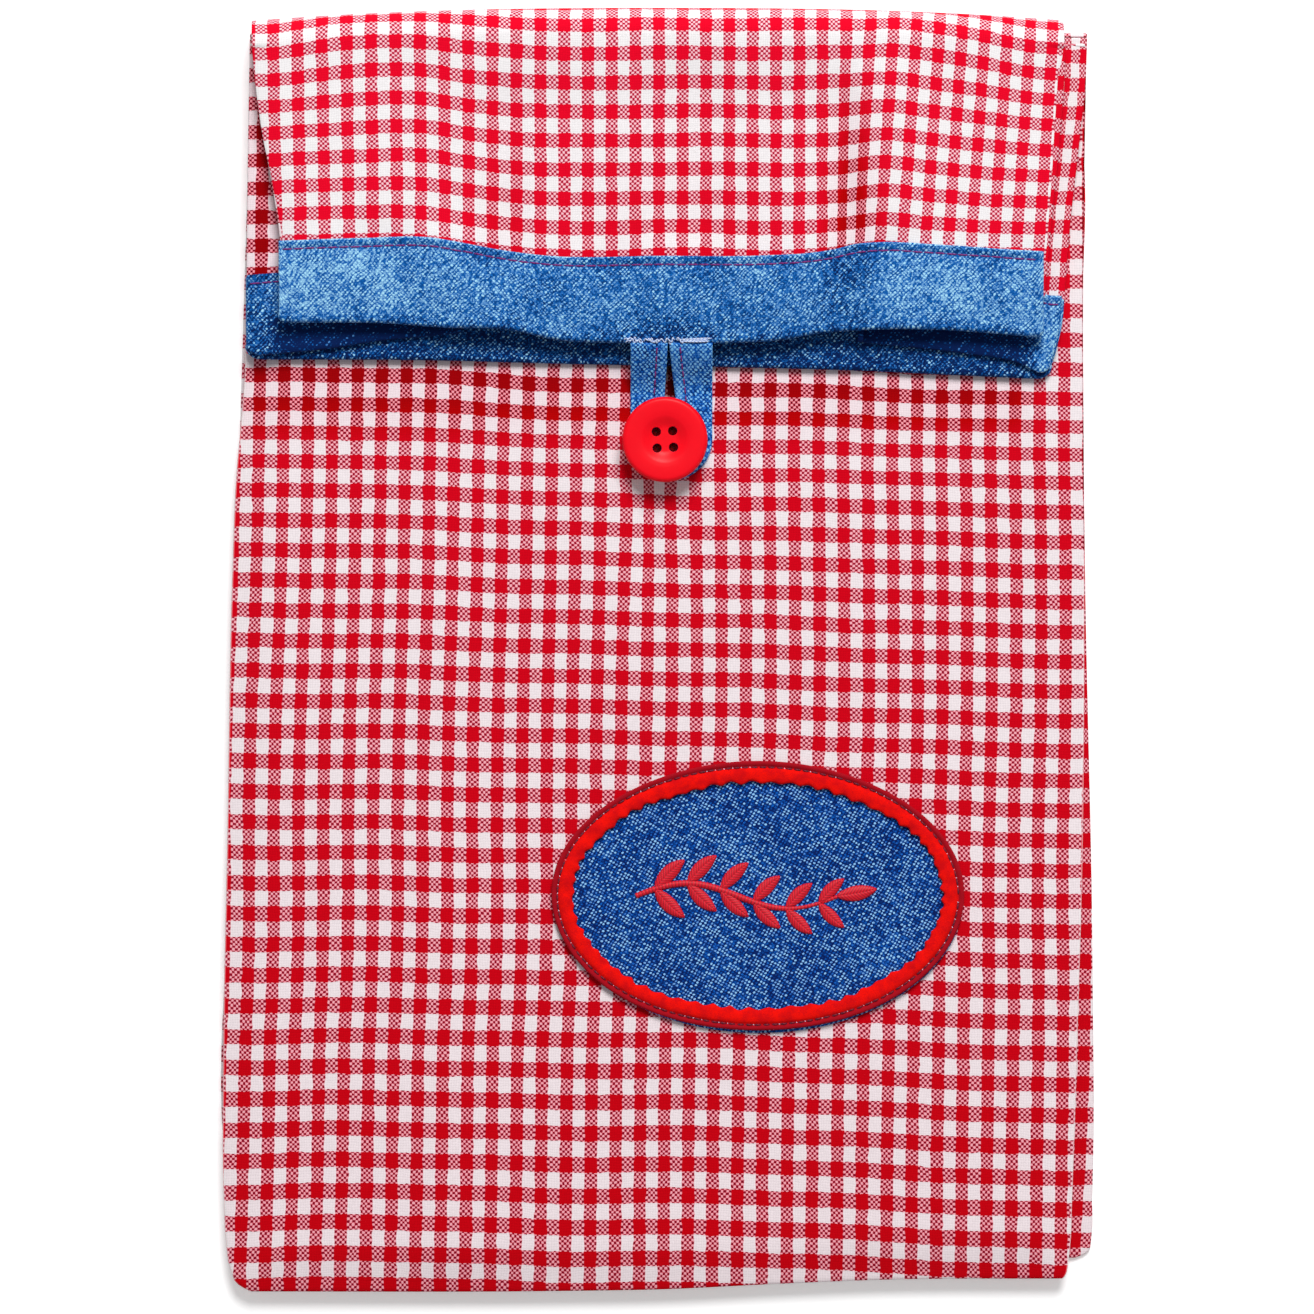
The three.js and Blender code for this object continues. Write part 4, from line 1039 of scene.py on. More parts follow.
def foldGussets(name):
    # the gussets' stretch round the fold
    side = gussets[name]["sign"]
    outerArc, innerArc = fold["outerRadius"] - 1.05, fold["innerRadius"] + 0.9
    radius = (outerArc - innerArc) / 2
    lowStart, lowEnd, highEnd = gussets[name]["foldEnds"]
    rows, threads = [], []
    for turn in arc(21):
        t = turn / math.pi + 0.5
        crease = mixOf(creases[name], flapCreases[name], t)
        ends = (mixOf(lowStart, lowEnd, t), highEnd, highEnd)
        row, place = [], []
        for (share, depth, bent), end in zip(leafSection(0, 2 * radius), ends):
            x = mixOf(end, crease + side * radius * (1 - bent), share)
            r = outerArc - depth
            y = fold["y"] - foldBow(x) * 0.72 + r * math.cos(turn)
            row.append(stacked(x, y, fold["z"] + r * math.sin(turn)))
            # painted shade along the top of the fold
            paintedShade = toneAndShade["shadeOnFold"] * hump(0.15, 0.25, turn)
            place.append(stacked(abs(x - end) + 2.4, r * turn, 1.0 - paintedShade))
        rows.append(np.concatenate(row))
        threads.append(np.concatenate(place))
    piece = clothPiece("gusset_" + name + "_fold", rows, threads)
    dress(piece, ginghamCloth, ("fold_gusset_" + name,))
    bendsAtFold(piece)
    declareSheet(piece)


def flapGussets(name):
    # between the flap's two walls; their lower leaves show beyond the flap's edges, left and right
    spot, crease = gussets[name], flapCreases[name]
    side = spot["sign"]
    yTop, yLow = fold["y"] - 0.4, 93.0

    def threadsAt(x, y, edgeX, isLow):
        across = side * spot["narrow"] * (abs(x - edgeX) - spot["inset"])
        return stacked(across, (y - spot["row"]) / lattice["flapRowPitch"] * repeatAlong, spot["wearAndShade"])

    def lowLine(x):
        seam = side * walls["seam"]
        near = easeBetween(0, 1, np.abs(x - seam) / abs(crease - seam))
        return mixOf(mouth["front"](x) - 0.5, mouth["back"](crease), near) + mouth["bandHeight"]

    grids = gussetGrid(
        side, yLow + evenly(yTop - yLow, 3), outline["innerFlap"][name], outline["flap"][name], crease,
        leanTo(lowLine, yLow, yTop), levels["flapGusset"], 0.15, threadsAt,
    )
    leafPieces(
        "flap_gusset_" + name, grids, "flap_gusset_" + name, True,
        (side * walls["seam"], 0, 0), (crease, 0, 0),
    )


# Denim bands

band = {
    "gap": 1.4,  # between its two layers
    "groove": 0.16,  # depth of the line of stitches
    "topstitchInset": 2.1,
    "stitch": 2.7,
    "stitchGap": 0.16,
    "stitchSink": 0.04,  # how far a stitch's ends dip into the cloth
    "threadRadius": 0.2,
    "gussetCorner": 3.6,
    "doubled": 0.2,  # how much thicker the stretches on the gussets are
    "sink": 0.75,  # how far it lies lower between the gussets' creases
    "wave": 0.55,
}
faceShares = np.concatenate(
    [[0, 0.015, 0.035, 0.06], np.linspace(0.1, 0.86, 16), [0.88, 0.9, 0.92, 0.94, 0.96, 0.98, 1]]
)
gussetFaceShares = np.concatenate(
    [[0, 0.015, 0.035, 0.07], np.linspace(0.12, 0.86, 12), [0.89, 0.92, 0.95, 0.975, 1]]
)


def turnedCorner(fromEnd, size):
    # how far the mouth's edge rises at a rounded corner of that size
    near = np.clip(1 - fromEnd / size, 0, 1)
    return size * (1 - np.sqrt(1 - near**2 * 0.96))


def bandFace(distance, height):
    # relief across a band's face, at a distance from its upper edge: turned edge, stitches, soft swell
    turned = 0.22 * (1 - easeBetween(0.9, 2.2, distance)) * easeBetween(-0.5, 0.5, distance)
    stitched = -band["groove"] * hump(band["topstitchInset"], 0.55, distance)
    swell = 0.25 * np.sin(np.clip((distance - band["topstitchInset"]) / (height - 4), 0, 1) * math.pi)
    return turned + stitched + swell


def bandWrap(name, across, zFace):
    # a band folded over a wall's edge: up behind the wall, round the mouth's edge, and up in front
    spot = bands[name]
    radius = band["gap"] / 2
    corner = turnedCorner(np.minimum(across - across[0], across[-1] - across), spot["corner"])
    drawn = easeBetween(across[-1] - 30, across[-1], across)
    stations = [("back", share) for share in np.linspace(1, 0, 9)]
    stations += [("turn", angle) for angle in arc(9)[1:-1]]
    stations += [("face", share) for share in faceShares]
    rows, threads = [], []
    for kind, value in stations:
        xs = across - spot["slant"] * drawn * (1 - (0 if kind == "turn" else value)) ** 2
        edge = spot["low"](xs) + corner
        height = spot["high"](xs) - edge
        if kind == "turn":
            y = edge + radius - radius * math.cos(value)
            z = zFace - radius + radius * math.sin(value) + spot["shape"](xs, 0)
            run = radius * (value + math.pi / 2)
        else:
            y = edge + radius + (height - radius) * value
            z = zFace + spot["shape"](xs, value)
            if kind == "back":
                z, run = z - band["gap"], -height * value
            else:
                z, run = z + bandFace(height * (1 - value), height), height * value + math.pi * radius
        rows.append(stacked(xs, y, z))
        # the band's wear and painted shade, drawn towards a middle value near its ends
        ends = 1 - easeBetween(0, 1.6, np.minimum(xs - xs[0], xs[-1] - xs))
        worn = mixOf(spot["wearAndShade"](xs, value if kind == "face" else 0.0), 0.5, ends * 0.8)
        threads.append(stacked(xs, run, worn))
    return clothPiece("band_" + name, rows, threads, cloth["denim"])


def outerBandShape(x, share):
    # the outer band's waves: steps over the gussets' creases and dents between them
    middle = easeBetween(-60, -34, x) * (1 - easeBetween(42, 52, x))
    dents = -0.5 * hump(46, 3.0, x) - 0.45 * hump(38, 2.5, x) * (1 - share) - 0.3 * hump(-8, 5, x) * share
    waves = 0.35 * np.sin(x / 8.5 + 0.4 + share) + 0.25 * np.sin(x / 4.3 + 2 * share)
    lift = 0.9 * hump(-42, 14, x) * (1 - share) + 0.8 * hump(60, 12, x) * (1 - share)
    return -band["sink"] * middle + dents + waves * band["wave"] + lift


def innerBandShape(x, share):
    return 0.12 * np.sin(x / 11.0 + 2 * share)


def innerBandTop(x):
    return mouth["front"](x) + mouth["bandHeight"]


def bandWearAndShade(x, share):
    # faded along the turned upper edge and in patches below it; painted shade in its crease over the right
    # gusset and along its lower edge by the loop's root
    patches = 0.45 * hump(-84, 30, x) * hump(0.52, 0.5, share)
    patches = patches + 0.3 * hump(76, 24, x) * hump(0.5, 0.6, share)
    dark = 0.5 * hump(46, 7, x) * hump(0.6, 0.6, share) + 0.9 * hump(1, 14, x) * hump(0.08, 0.18, share)
    seam = 0.2 * hump(0.89, 0.02, share) + 0.15 * easeBetween(0.89, 0.92, share)
    return patches - dark - (seam - 0.6 * hump(1.0, 0.012, share)) - 0.3 * hump(0.0, 0.05, share)


def innerToneAndShade(x, share):
    # the band's lower layers are a little darker, and more so at the left end; the strong darkening towards
    # the mouth's edge is painted shade under the outer band
    return -0.2 - 1.0 * (1 - easeBetween(0.3, 0.7, share)) - 0.1 * hump(-104, 20, x)


def stitchLine(path, length=band["stitch"], gap=band["stitchGap"], radius=band["threadRadius"]):
    # a row of machine stitches along a path of points in mm: each dips into the cloth at both its ends
    path = np.asarray(path, float)
    run = runAlong(path)
    sink = band["stitchSink"]
    bodies = []
    start = gap
    while start + length < run[-1]:
        spots = pointsAt(np.linspace(start, start + length, 6), run, path)
        spots[:, 2] += np.array([-sink, 0.5 * radius, 0.9 * radius, 0.9 * radius, 0.5 * radius, -sink])
        spots[:, 1] += random.uniform(-0.05, 0.05)
        bodies.append(thread(spots, radius))
        start += length + gap
    return bodies


bands = {
    # stitchShare: how high up the band its row of stitches follows its waves. stitched: the columns with
    # stitches
    "outer": {
        "node": "band_back", "body": "flap_back", "restsOn": "back_wall",
        "start": -96.3, "length": 193.1, "step": 1.3, "corner": 1.8, "slant": 0.0,
        "low": mouth["back"], "high": mouth["backTop"], "shape": outerBandShape, "wearAndShade": bandWearAndShade,
        "stitchShare": 1 - band["topstitchInset"] / mouth["bandHeight"], "stitched": slice(2, -1),
    },
    "inner": {
        "node": "band_front", "body": "flap_front", "restsOn": "inner_flap_wall",
        "start": -105.1, "length": 207.5, "step": 1.8, "corner": 3.6, "slant": 3.2,
        "low": mouth["front"], "high": innerBandTop, "shape": innerBandShape, "wearAndShade": innerToneAndShade,
        "stitchShare": 0.9, "stitched": slice(4, -4),
    },
}


def bandPiece(name):
    spot, inset = bands[name], band["topstitchInset"]
    node, body = spot["node"], spot["body"]
    xs = spot["start"] + evenly(spot["length"], spot["step"])
    zFace = level(node) + band["gap"] / 2
    piece = bandWrap(name, xs, zFace)
    dress(piece, bandDenim, (node,), body)
    z = zFace + spot["shape"](xs, spot["stitchShare"]) + bandFace(inset, mouth["bandHeight"])
    path = stacked(xs, spot["high"](xs) - inset, z + cloth["denim"] / 2)[spot["stitched"]]
    row = sweptPiece("band_" + name + "_stitches", stitchLine(path))
    dress(row, seamThread, (node + "_topstitch",), body)
    declareSheet(piece, [row])


def gussetBands(name):
    # the band's stretch on a gusset, folded inwards with it: its lower leaf shows below and beside the flap
    spot, height = gussets[name], mouth["bandHeight"]
    side = spot["sign"]
    crease = flapCreases[name] + side * 0.8
    outerEdge = outline["flap"][name](85.0) - side * 0.4
    innerEdge = outline["innerFlap"][name](80.0) - side * 0.1
    heights = levels["gussetBand"]
    radius = (heights[1] - heights[0]) / 2
    low, bend, high = leafSection(*heights)
    rows, threads = [], []
    for value in gussetFaceShares:
        relief = bandFace(height * (1 - value), height) * 0.8
        relief += 0.35 * (1 - easeBetween(0, 0.2, value)) - 0.4 * (1 - easeBetween(0, 0.03, value))
        row, place = [], []
        for part in (low, bend, high):
            share, z, bent = part
            edge = outerEdge if part is high else innerEdge - spot["slant"] * (1 - value) ** 2
            x = mixOf(edge, crease + side * radius * (1 - bent), share)
            if part is high:
                line, corner = mouth["back"](x) + 1.0, 0
            else:
                line = spot["mouth"](crease if part is bend else x)
                corner = turnedCorner(share * abs(crease - edge), band["gussetCorner"])
                z = z + relief - 0.8 * (1 - easeBetween(0, 0.03, share))
            y = mixOf(line + corner, line + height, value)
            row.append(stacked(x, y, z))
            end = 0.25 * hump(100, 8, x) - 0.45 * hump(-101, 8, x)
            # painted shade in the gap under the outer band, darkest along the mouth's edge
            paintedGapShade = 2.3 * (1 - easeBetween(0.2, 0.6, value)) * easeBetween(0.04, 0.2, share)
            place.append(stacked(x, y, end - paintedGapShade))
        rows.append(np.concatenate(row))
        threads.append(np.concatenate(place))
    inset = band["topstitchInset"]
    thickness = cloth["denim"] + band["doubled"]
    first = outline["innerFlap"][name](80.0)
    xs = np.linspace(first - side * 0.8, first - side * 22, 30)
    z = heights[0] + bandFace(inset, height) * 0.8 + thickness / 2
    path = stacked(xs, spot["mouth"](xs) + height - inset, z)
    stitches = sweptPiece("gusset_band_" + name + "_stitches", stitchLine(path))
    dress(stitches, seamThread)
    leafPieces(
        "gusset_band_" + name, (np.array(rows), np.array(threads)), "band_gusset_" + name,
        True, (side * walls["seam"], 0, 0), (crease, 0, 0),
        material=bandDenim, thickness=thickness, riders=[stitches],
    )


frontWall = frontWallPiece()
backWallPiece()
declareSheet(frontWall, [innerFlapPieces()])
for name in gussets:
    bodyGussets(name)
basePiece()
for name in gussets:
    foldGussets(name)
for name in gussets:
    flapGussets(name)
print("gingham cloths made")
for name in bands:
    bandPiece(name)
for name in gussets:
    gussetBands(name)
print("denim bands made")


# Button loop

loop = {
    "left": -7.5,
    "right": 13.25,
    "slitTop": 2.1,
    "slitLeft": 1.15,
    "slitRight": 3.85,
    "slitOpen": 64.0,  # it has its full width from here down
    "bendY": 53.3,
    "rootY": mouth["back"](2.0) - 0.1,
    "thickness": 1.2,
    "seam": 2.7,  # how far its rows of stitches lie from the slit
    "stitch": 1.9,
    "stitchGap": 0.4,
    "threadRadius": 0.2,
    "wearAndShade": 0.3,  # along its folds and hems
    "wave": 0.12,
    "wavesOver": (64, 69),  # heights between which it begins to wave and its hem to swell
    "groove": 0.16,  # depth of its lines of stitches
    "hem": 0.16,  # height of the swell beside them
    "otherLeg": 30,  # mm of cloth between its two legs' yarns
    "flatZ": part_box("button_loop")[0][2] / mm + 0.6,
    "rootZ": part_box("button_loop")[1][2] / mm - 0.75,
    "riseFrom": 68.2,
    "bendsOver": 4.2,  # a length below its root, in mm
    "bendsAtX": 3.0,
}


def loopZ(y):
    return mixOf(loop["flatZ"], loop["rootZ"], easeBetween(loop["riseFrom"] - 4, loop["rootY"] + 1, y))


def loopWave(x, y):
    return loop["wave"] * np.sin(y / 3.1 + x / 4.0) * easeBetween(*loop["wavesOver"], y)


def bendsAtRoot(piece):
    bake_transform(piece)


def loopStations(ys, leftInner, rightInner):
    # points on the strip's outer and inner edges: down its left leg, round its end, and up its right leg
    spot = loop
    left, right = spot["left"], spot["right"]
    centre, radius = (left + right) / 2, (right - left) / 2
    slitCentre = (spot["slitLeft"] + spot["slitRight"]) / 2
    slitRadius = (spot["slitRight"] - spot["slitLeft"]) / 2
    stations = [((left, y), (inner, y)) for y, inner in zip(ys, leftInner)]
    for turn in arc(25, 180, 360)[1:-1]:
        dx, dy = math.cos(turn), math.sin(turn)
        stations.append((
            (centre + radius * dx, spot["bendY"] + radius * dy),
            (slitCentre + slitRadius * dx, spot["bendY"] + slitRadius * dy),
        ))
    stations += [((right, y), (inner, y)) for y, inner in zip(ys[::-1], rightInner[::-1])]
    return np.array(stations)


def loopPiece():
    # a folded denim strip, both legs side by side, that turns back on itself under the button
    spot = loop
    seam, half = spot["seam"], spot["thickness"] / 2
    ys = np.linspace(spot["rootY"], spot["bendY"], 34)
    slit = np.clip((spot["rootY"] - ys) / (spot["rootY"] - spot["slitOpen"]), 0, 1) ** 1.1
    leftInner = mixOf(spot["slitTop"] - 0.15, spot["slitLeft"], slit)
    rightInner = mixOf(spot["slitTop"] + 0.15, spot["slitRight"], slit)
    stations = loopStations(ys, leftInner, rightInner)
    # round the strip's section: flat faces with rounded folds and a groove at its stitches
    shares = np.array([0, 0.02, 0.06, 0.12, 0.25, 0.42, 0.58, 0.64, 0.70, 0.76, 0.86, 0.94, 0.98, 1])
    rings, places = [], []
    for k, (run, (a, b)) in enumerate(zip(runAlong(stations.mean(axis=1)), stations)):
        width = np.linalg.norm(b - a)
        inset = shares * width
        fromFold = np.minimum(shares, 1 - shares) * width
        body = half * np.sqrt(1 - (1 - np.clip(fromFold / 0.6, 0, 1)) ** 2 * 0.85)
        stitched = spot["groove"] * hump(width - seam, 0.6, inset)
        crown = spot["hem"] * hump(width - seam / 2 + 0.1, 0.8, inset)
        crown = crown * easeBetween(*spot["wavesOver"], (a[1] + b[1]) / 2)
        across = a[None] + (b - a)[None] * shares[:, None]
        z = loopZ(across[:, 1]) + loopWave(across[:, 0], across[:, 1])
        top = np.column_stack([across, z + body - stitched + crown])
        low = np.column_stack([across, z - body])[::-1]
        rings.append(np.concatenate([top, low]))
        worn = np.clip(1 - fromFold / 0.9, 0, 1) + hump(width - seam / 2 + 0.2, 1.1, inset)
        wearAndShade = worn * spot["wearAndShade"] - 0.35 * hump(width - seam, 0.4, inset)
        # the right leg is another stretch of the strip than the left one, so its yarns differ
        plain = stacked(inset + (0 if k < len(stations) / 2 else spot["otherLeg"]), run, wearAndShade)
        places.append(np.concatenate([plain, plain[::-1]]))
    piece = sweptPiece("loop_strap", [(rings, places, False)])
    dress(piece, loopDenim, ("button_loop",))
    bendsAtRoot(piece)
    bodies = []
    for x in (leftInner - seam, rightInner + seam):
        path = stacked(x, ys, loopZ(ys) + half - 0.12 + loopWave(x, ys))[1:]
        bodies += stitchLine(path, spot["stitch"], spot["stitchGap"], spot["threadRadius"])
    row = sweptPiece("loop_stitches", bodies)
    dress(row, seamThread, ("loop_topstitch",))
    bendsAtRoot(row)


tack = {
    "left": -9.5,
    "middle": 6.2,
    "right": 13.6,
    "raggedThreads": 2,
    "raggedPoints": 22,
    "raggedRadius": 0.19,
    "sunkShare": 0.38,  # of the ragged threads' points, which dip into the denim
    "strands": 3,
    "strandRadius": 0.2,
}


def bartackPiece():
    # the bar of threads that holds the loop: ragged ones over its left leg, smooth strands over its right
    spot = tack
    bodies = []
    zTop = levels["outerBand"] + band["gap"] / 2 + cloth["denim"] / 2 + 0.1
    count = spot["raggedPoints"]
    for k in range(spot["raggedThreads"]):
        x = np.linspace(spot["left"] + k, spot["middle"], count)
        x = x + [random.uniform(-0.35, 0.35) for _ in range(count)]
        y0 = mouth["back"](x) + 0.4 + 0.3 * (k - 0.5)
        y = y0 + [random.uniform(0.2, 1.0) * (1 if i % 2 else -1) for i in range(count)]
        z = zTop + outerBandShape(x, 0.05) + 0.08 + 0.1 * k - 0.3 * np.clip(y0 - y, 0, 1)
        z = z - [0.7 if random.random() < spot["sunkShare"] else 0.0 for _ in range(count)]
        path = pointsAt(np.linspace(0, count - 1, count * 4), range(count), stacked(x, y, z))
        path[1:-1] = (path[:-2] + path[1:-1] * 2 + path[2:]) / 4
        bodies.append(thread(path, spot["raggedRadius"]))
    for k in range(spot["strands"]):
        x = np.linspace(spot["middle"] - random.uniform(0, 1.5), spot["right"] - random.uniform(0, 1.6), 16)
        y = mouth["back"](x) + 0.2 + 0.3 * k + 0.1 * np.sin(x / 2 + k)
        z = zTop + outerBandShape(x, 0.05) - 0.12 + 0.3 * np.sin(np.linspace(0, math.pi, 16)) ** 0.5
        bodies.append(thread(stacked(x, y, z), spot["strandRadius"]))
    piece = sweptPiece("loop_tack", bodies)
    dress(piece, paleThread, ("loop_bartack",), "flap_back")


loopPiece()
bartackPiece()


# Button

buttonLow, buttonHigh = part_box("button")
button = {
    "x": (buttonLow[0] + buttonHigh[0]) / 2 / mm + 0.2,
    "y": (buttonLow[1] + buttonHigh[1]) / 2 / mm,
    "bottom": buttonLow[2] / mm,
    "radius": (buttonHigh[0] - buttonLow[0]) / 2 / mm,
    "thickness": (buttonHigh[2] - buttonLow[2]) / mm,
    "rimRound": 1.15,
    "dishRadius": 6.3,
    "dishDepth": 1.35,
    "dishSlope": 3.6,  # over how much of its radius it falls
    "holeRadius": 1.18,
    "holeSpacing": 4.15,
    "turn": 3,  # degrees that its holes are turned
    "softRims": 0.16,
    "sides": 96,
    "shankThreads": 9,
    "shankTwist": 0.9,  # radians a mm
    "shankRadius": 0.95,
    "shankFlare": 0.9,  # how much wider it is under the button
    "shankThread": 0.36,  # radius of its threads, and of those that wind round it and fill the holes
    "shankWraps": 7,
    "wrapRadius": 1.5,
    "wrapThread": 0.28,
    "holeThread": 1.02,
}


def buttonProfile():
    # radius and height from the middle of its back round the rim to the middle of its dish
    spot = button
    r, top, bulge = spot["radius"], spot["thickness"], spot["rimRound"]
    profile = [(0.0, 0.0), (r * 0.5, 0.0), (r - 2.0, 0.05), (r - 1.1, 0.35), (r - 0.45, 1.0)]
    profile.append((r - 0.12, 1.8))
    profile += [(r - bulge + bulge * math.cos(a), top - 1.2 + bulge * math.sin(a)) for a in arc(9, 0, 90)]
    dish, depth = spot["dishRadius"], spot["dishDepth"]
    profile += [(r - 2.0, top - 0.02), (r - 3.0, top - 0.04)]
    profile += [(dish + 0.9, top - 0.06), (dish + 0.35, top - 0.1)]
    for t in np.linspace(0, 1, 14):
        profile.append((dish + 0.1 - spot["dishSlope"] * t, top - mixOf(0.14, depth, t * t * (3 - 2 * t))))
    return profile + [(dish - 4.6, top - depth), (0.0, top - depth)]


def meshOf(name, work):
    mesh = bpy.data.meshes.new(name)
    work.to_mesh(mesh)
    work.free()
    return mesh


def buttonPiece():
    # turned from its profile and pierced; gives back the places of its holes
    spot = button
    profile, count = buttonProfile(), spot["sides"]
    work = bmesh.new()
    poles = [work.verts.new((0, 0, profile[0][1])), work.verts.new((0, 0, profile[-1][1]))]
    angles = [2 * math.pi * k / count for k in range(count)]
    rings = []
    for radius, z in profile[1:-1]:
        rings.append([work.verts.new((radius * math.cos(a), radius * math.sin(a), z)) for a in angles])
    for k in range(count):
        n = (k + 1) % count
        work.faces.new((poles[0], rings[0][n], rings[0][k]))
        work.faces.new((poles[1], rings[-1][k], rings[-1][n]))
        for a, b in zip(rings, rings[1:]):
            work.faces.new((a[k], a[n], b[n], b[k]))
    bmesh.ops.recalc_face_normals(work, faces=work.faces)
    bmesh.ops.scale(work, vec=(mm, mm, mm), verts=work.verts)
    piece = addObject("button_disc", meshOf("button_disc", work))
    cutters = bmesh.new()
    half, turned = spot["holeSpacing"] / 2, math.radians(spot["turn"])
    holes = []
    for sx, sy in ((-1, -1), (1, -1), (1, 1), (-1, 1)):
        x = sx * half * math.cos(turned) - sy * half * math.sin(turned)
        y = sx * half * math.sin(turned) + sy * half * math.cos(turned)
        holes.append((x, y))
        made = bmesh.ops.create_cone(
            cutters, segments=28, cap_ends=True, depth=3 * spot["thickness"] * mm,
            radius1=spot["holeRadius"] * mm, radius2=spot["holeRadius"] * mm,
        )
        bmesh.ops.translate(cutters, verts=made["verts"], vec=(x * mm, y * mm, spot["thickness"] / 2 * mm))
    cutter = addObject("holeCutters", meshOf("holeCutters", cutters))
    cut = piece.modifiers.new("holes", "BOOLEAN")
    cut.operation = "DIFFERENCE"
    cut.solver = "EXACT"
    cut.object = cutter
    soften = piece.modifiers.new("softenRims", "BEVEL")
    soften.width = spot["softRims"] * mm
    soften.segments = 3
    soften.limit_method = "ANGLE"
    soften.angle_limit = math.radians(50)
    ready = piece.evaluated_get(bpy.context.evaluated_depsgraph_get())
    finished = bpy.data.meshes.new_from_object(ready)
    piece.modifiers.clear()
    piece.data = finished
    bpy.data.objects.remove(cutter)
    finished.transform(Matrix.Translation((spot["x"] * mm, spot["y"] * mm, spot["bottom"] * mm)))
    finished.polygons.foreach_set("use_smooth", [True] * len(finished.polygons))
    dress(piece, buttonPlastic, ("button",), "button_head")
    return holes


def buttonThreadPiece(holes):
    # the shank under the button, wound round, and its ends in the button's holes
    spot = button
    foot = levels["front"] + cloth["cotton"] / 2 + 0.1
    under = spot["bottom"] - 0.1

    def roundShank(radius, angle, z):
        return stacked(spot["x"] + radius * np.cos(angle), spot["y"] + radius * np.sin(angle), z)

    zs = np.linspace(foot, under, 12)
    radius = spot["shankRadius"] + spot["shankFlare"] * easeBetween(under - 1.2, under, zs)
    bodies = []
    for k in range(spot["shankThreads"]):
        swing = 2 * math.pi * k / spot["shankThreads"] + (zs - foot) * spot["shankTwist"]
        bodies.append(thread(roundShank(radius, swing, zs), spot["shankThread"], taper=False))
    turns = np.linspace(0, spot["shankWraps"] * 2 * math.pi, 150)
    wrap = roundShank(spot["wrapRadius"], turns, np.linspace(foot + 0.3, under - 0.9, 150))
    bodies.append(thread(wrap, spot["wrapThread"], taper=False))
    # the thread that fills each hole, deep down, dark so that the holes read as shaded: a dark plug standing
    # in for their shade; none of it shows across the dish
    for x, y in holes:
        path = [(spot["x"] + x + 0.05 * dz, spot["y"] + y, under + dz) for dz in (-0.1, 0.2, 0.4)]
        bodies.append(thread(path, spot["holeThread"], sides=12, taper=False))
    piece = sweptPiece("button_shank", bodies)
    dress(piece, shankThread, ("button_thread",), "button_head")


buttonThreadPiece(buttonPiece())
print("loop and button made")


# Oval patch

patchLow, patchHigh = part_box("patch_ring")
patch = {
    "x": (patchLow[0] + patchHigh[0]) / 2 / mm,
    "y": (patchLow[1] + patchHigh[1]) / 2 / mm,
    "radiusX": (patchHigh[0] - patchLow[0]) / 2 / mm,
    "radiusY": (patchHigh[1] - patchLow[1]) / 2 / mm,
    "feltWidth": 5.4,
    "scallops": 60,
    "scallopDepth": 0.95,
    "stitchInset": 1.5,
    "groove": 0.5,  # how deep the stitches press the felt
    "puff": 0.25,  # how far it swells inside them
    "baseZ": level("patch_base"),
    "feltZ": level("patch_ring"),
    "denimX": 0.35,  # the denim oval lies a little to the lower right of the felt, and is smaller
    "denimY": -0.75,
    "denimInsetX": 0.75,
    "denimInsetY": 0.25,
    "denimSwell": 0.25,
    "frayed": 0.2,  # how much paler the denim's edge is
    "stitch": 1.75,
    "stitchGap": 0.45,
    "threadRadius": 0.24,
    "stitchSink": 0.42,  # how far the stitches pull into the felt
    "holePitch": 2.2,  # of the needle holes
    "bobbinShare": 0.62,  # of them, at which the pale bobbin thread shows
    "bobbinRadius": 0.14,
    "bobbinLift": 0.12,
    "denimTurn": 15,  # degrees that the denim's yarns are turned
}


def patchRelief(x, y):
    return bellyHeight(x, y) * 0.9


def patchBase():
    # the denim oval, whose edge peeks out at the lower right of the felt
    spot = patch
    u, v = np.meshgrid(np.linspace(-1, 1, 76), np.linspace(-1, 1, 76))
    ex, ey = u * np.sqrt(1 - v * v / 2), v * np.sqrt(1 - u * u / 2)
    fromMiddle = np.hypot(ex, ey)
    x = spot["x"] + spot["denimX"] + ex * (spot["radiusX"] - spot["denimInsetX"])
    y = spot["y"] + spot["denimY"] + ey * (spot["radiusY"] - spot["denimInsetY"])
    swell = spot["denimSwell"] * (1 - np.clip(fromMiddle, 0, 1)) ** 0.8
    turn = math.radians(spot["denimTurn"])
    across = x * math.cos(turn) + y * math.sin(turn)
    along = y * math.cos(turn) - x * math.sin(turn)
    threads = stacked(across, along, spot["frayed"] * hump(1, 0.03, fromMiddle))
    middle = stacked(x, y, spot["baseZ"] + patchRelief(x, y) + swell)
    piece = clothPiece("patch_denim", middle, threads, cloth["denim"])
    return dress(piece, patchDenim, ("patch_base",), "front_belly")


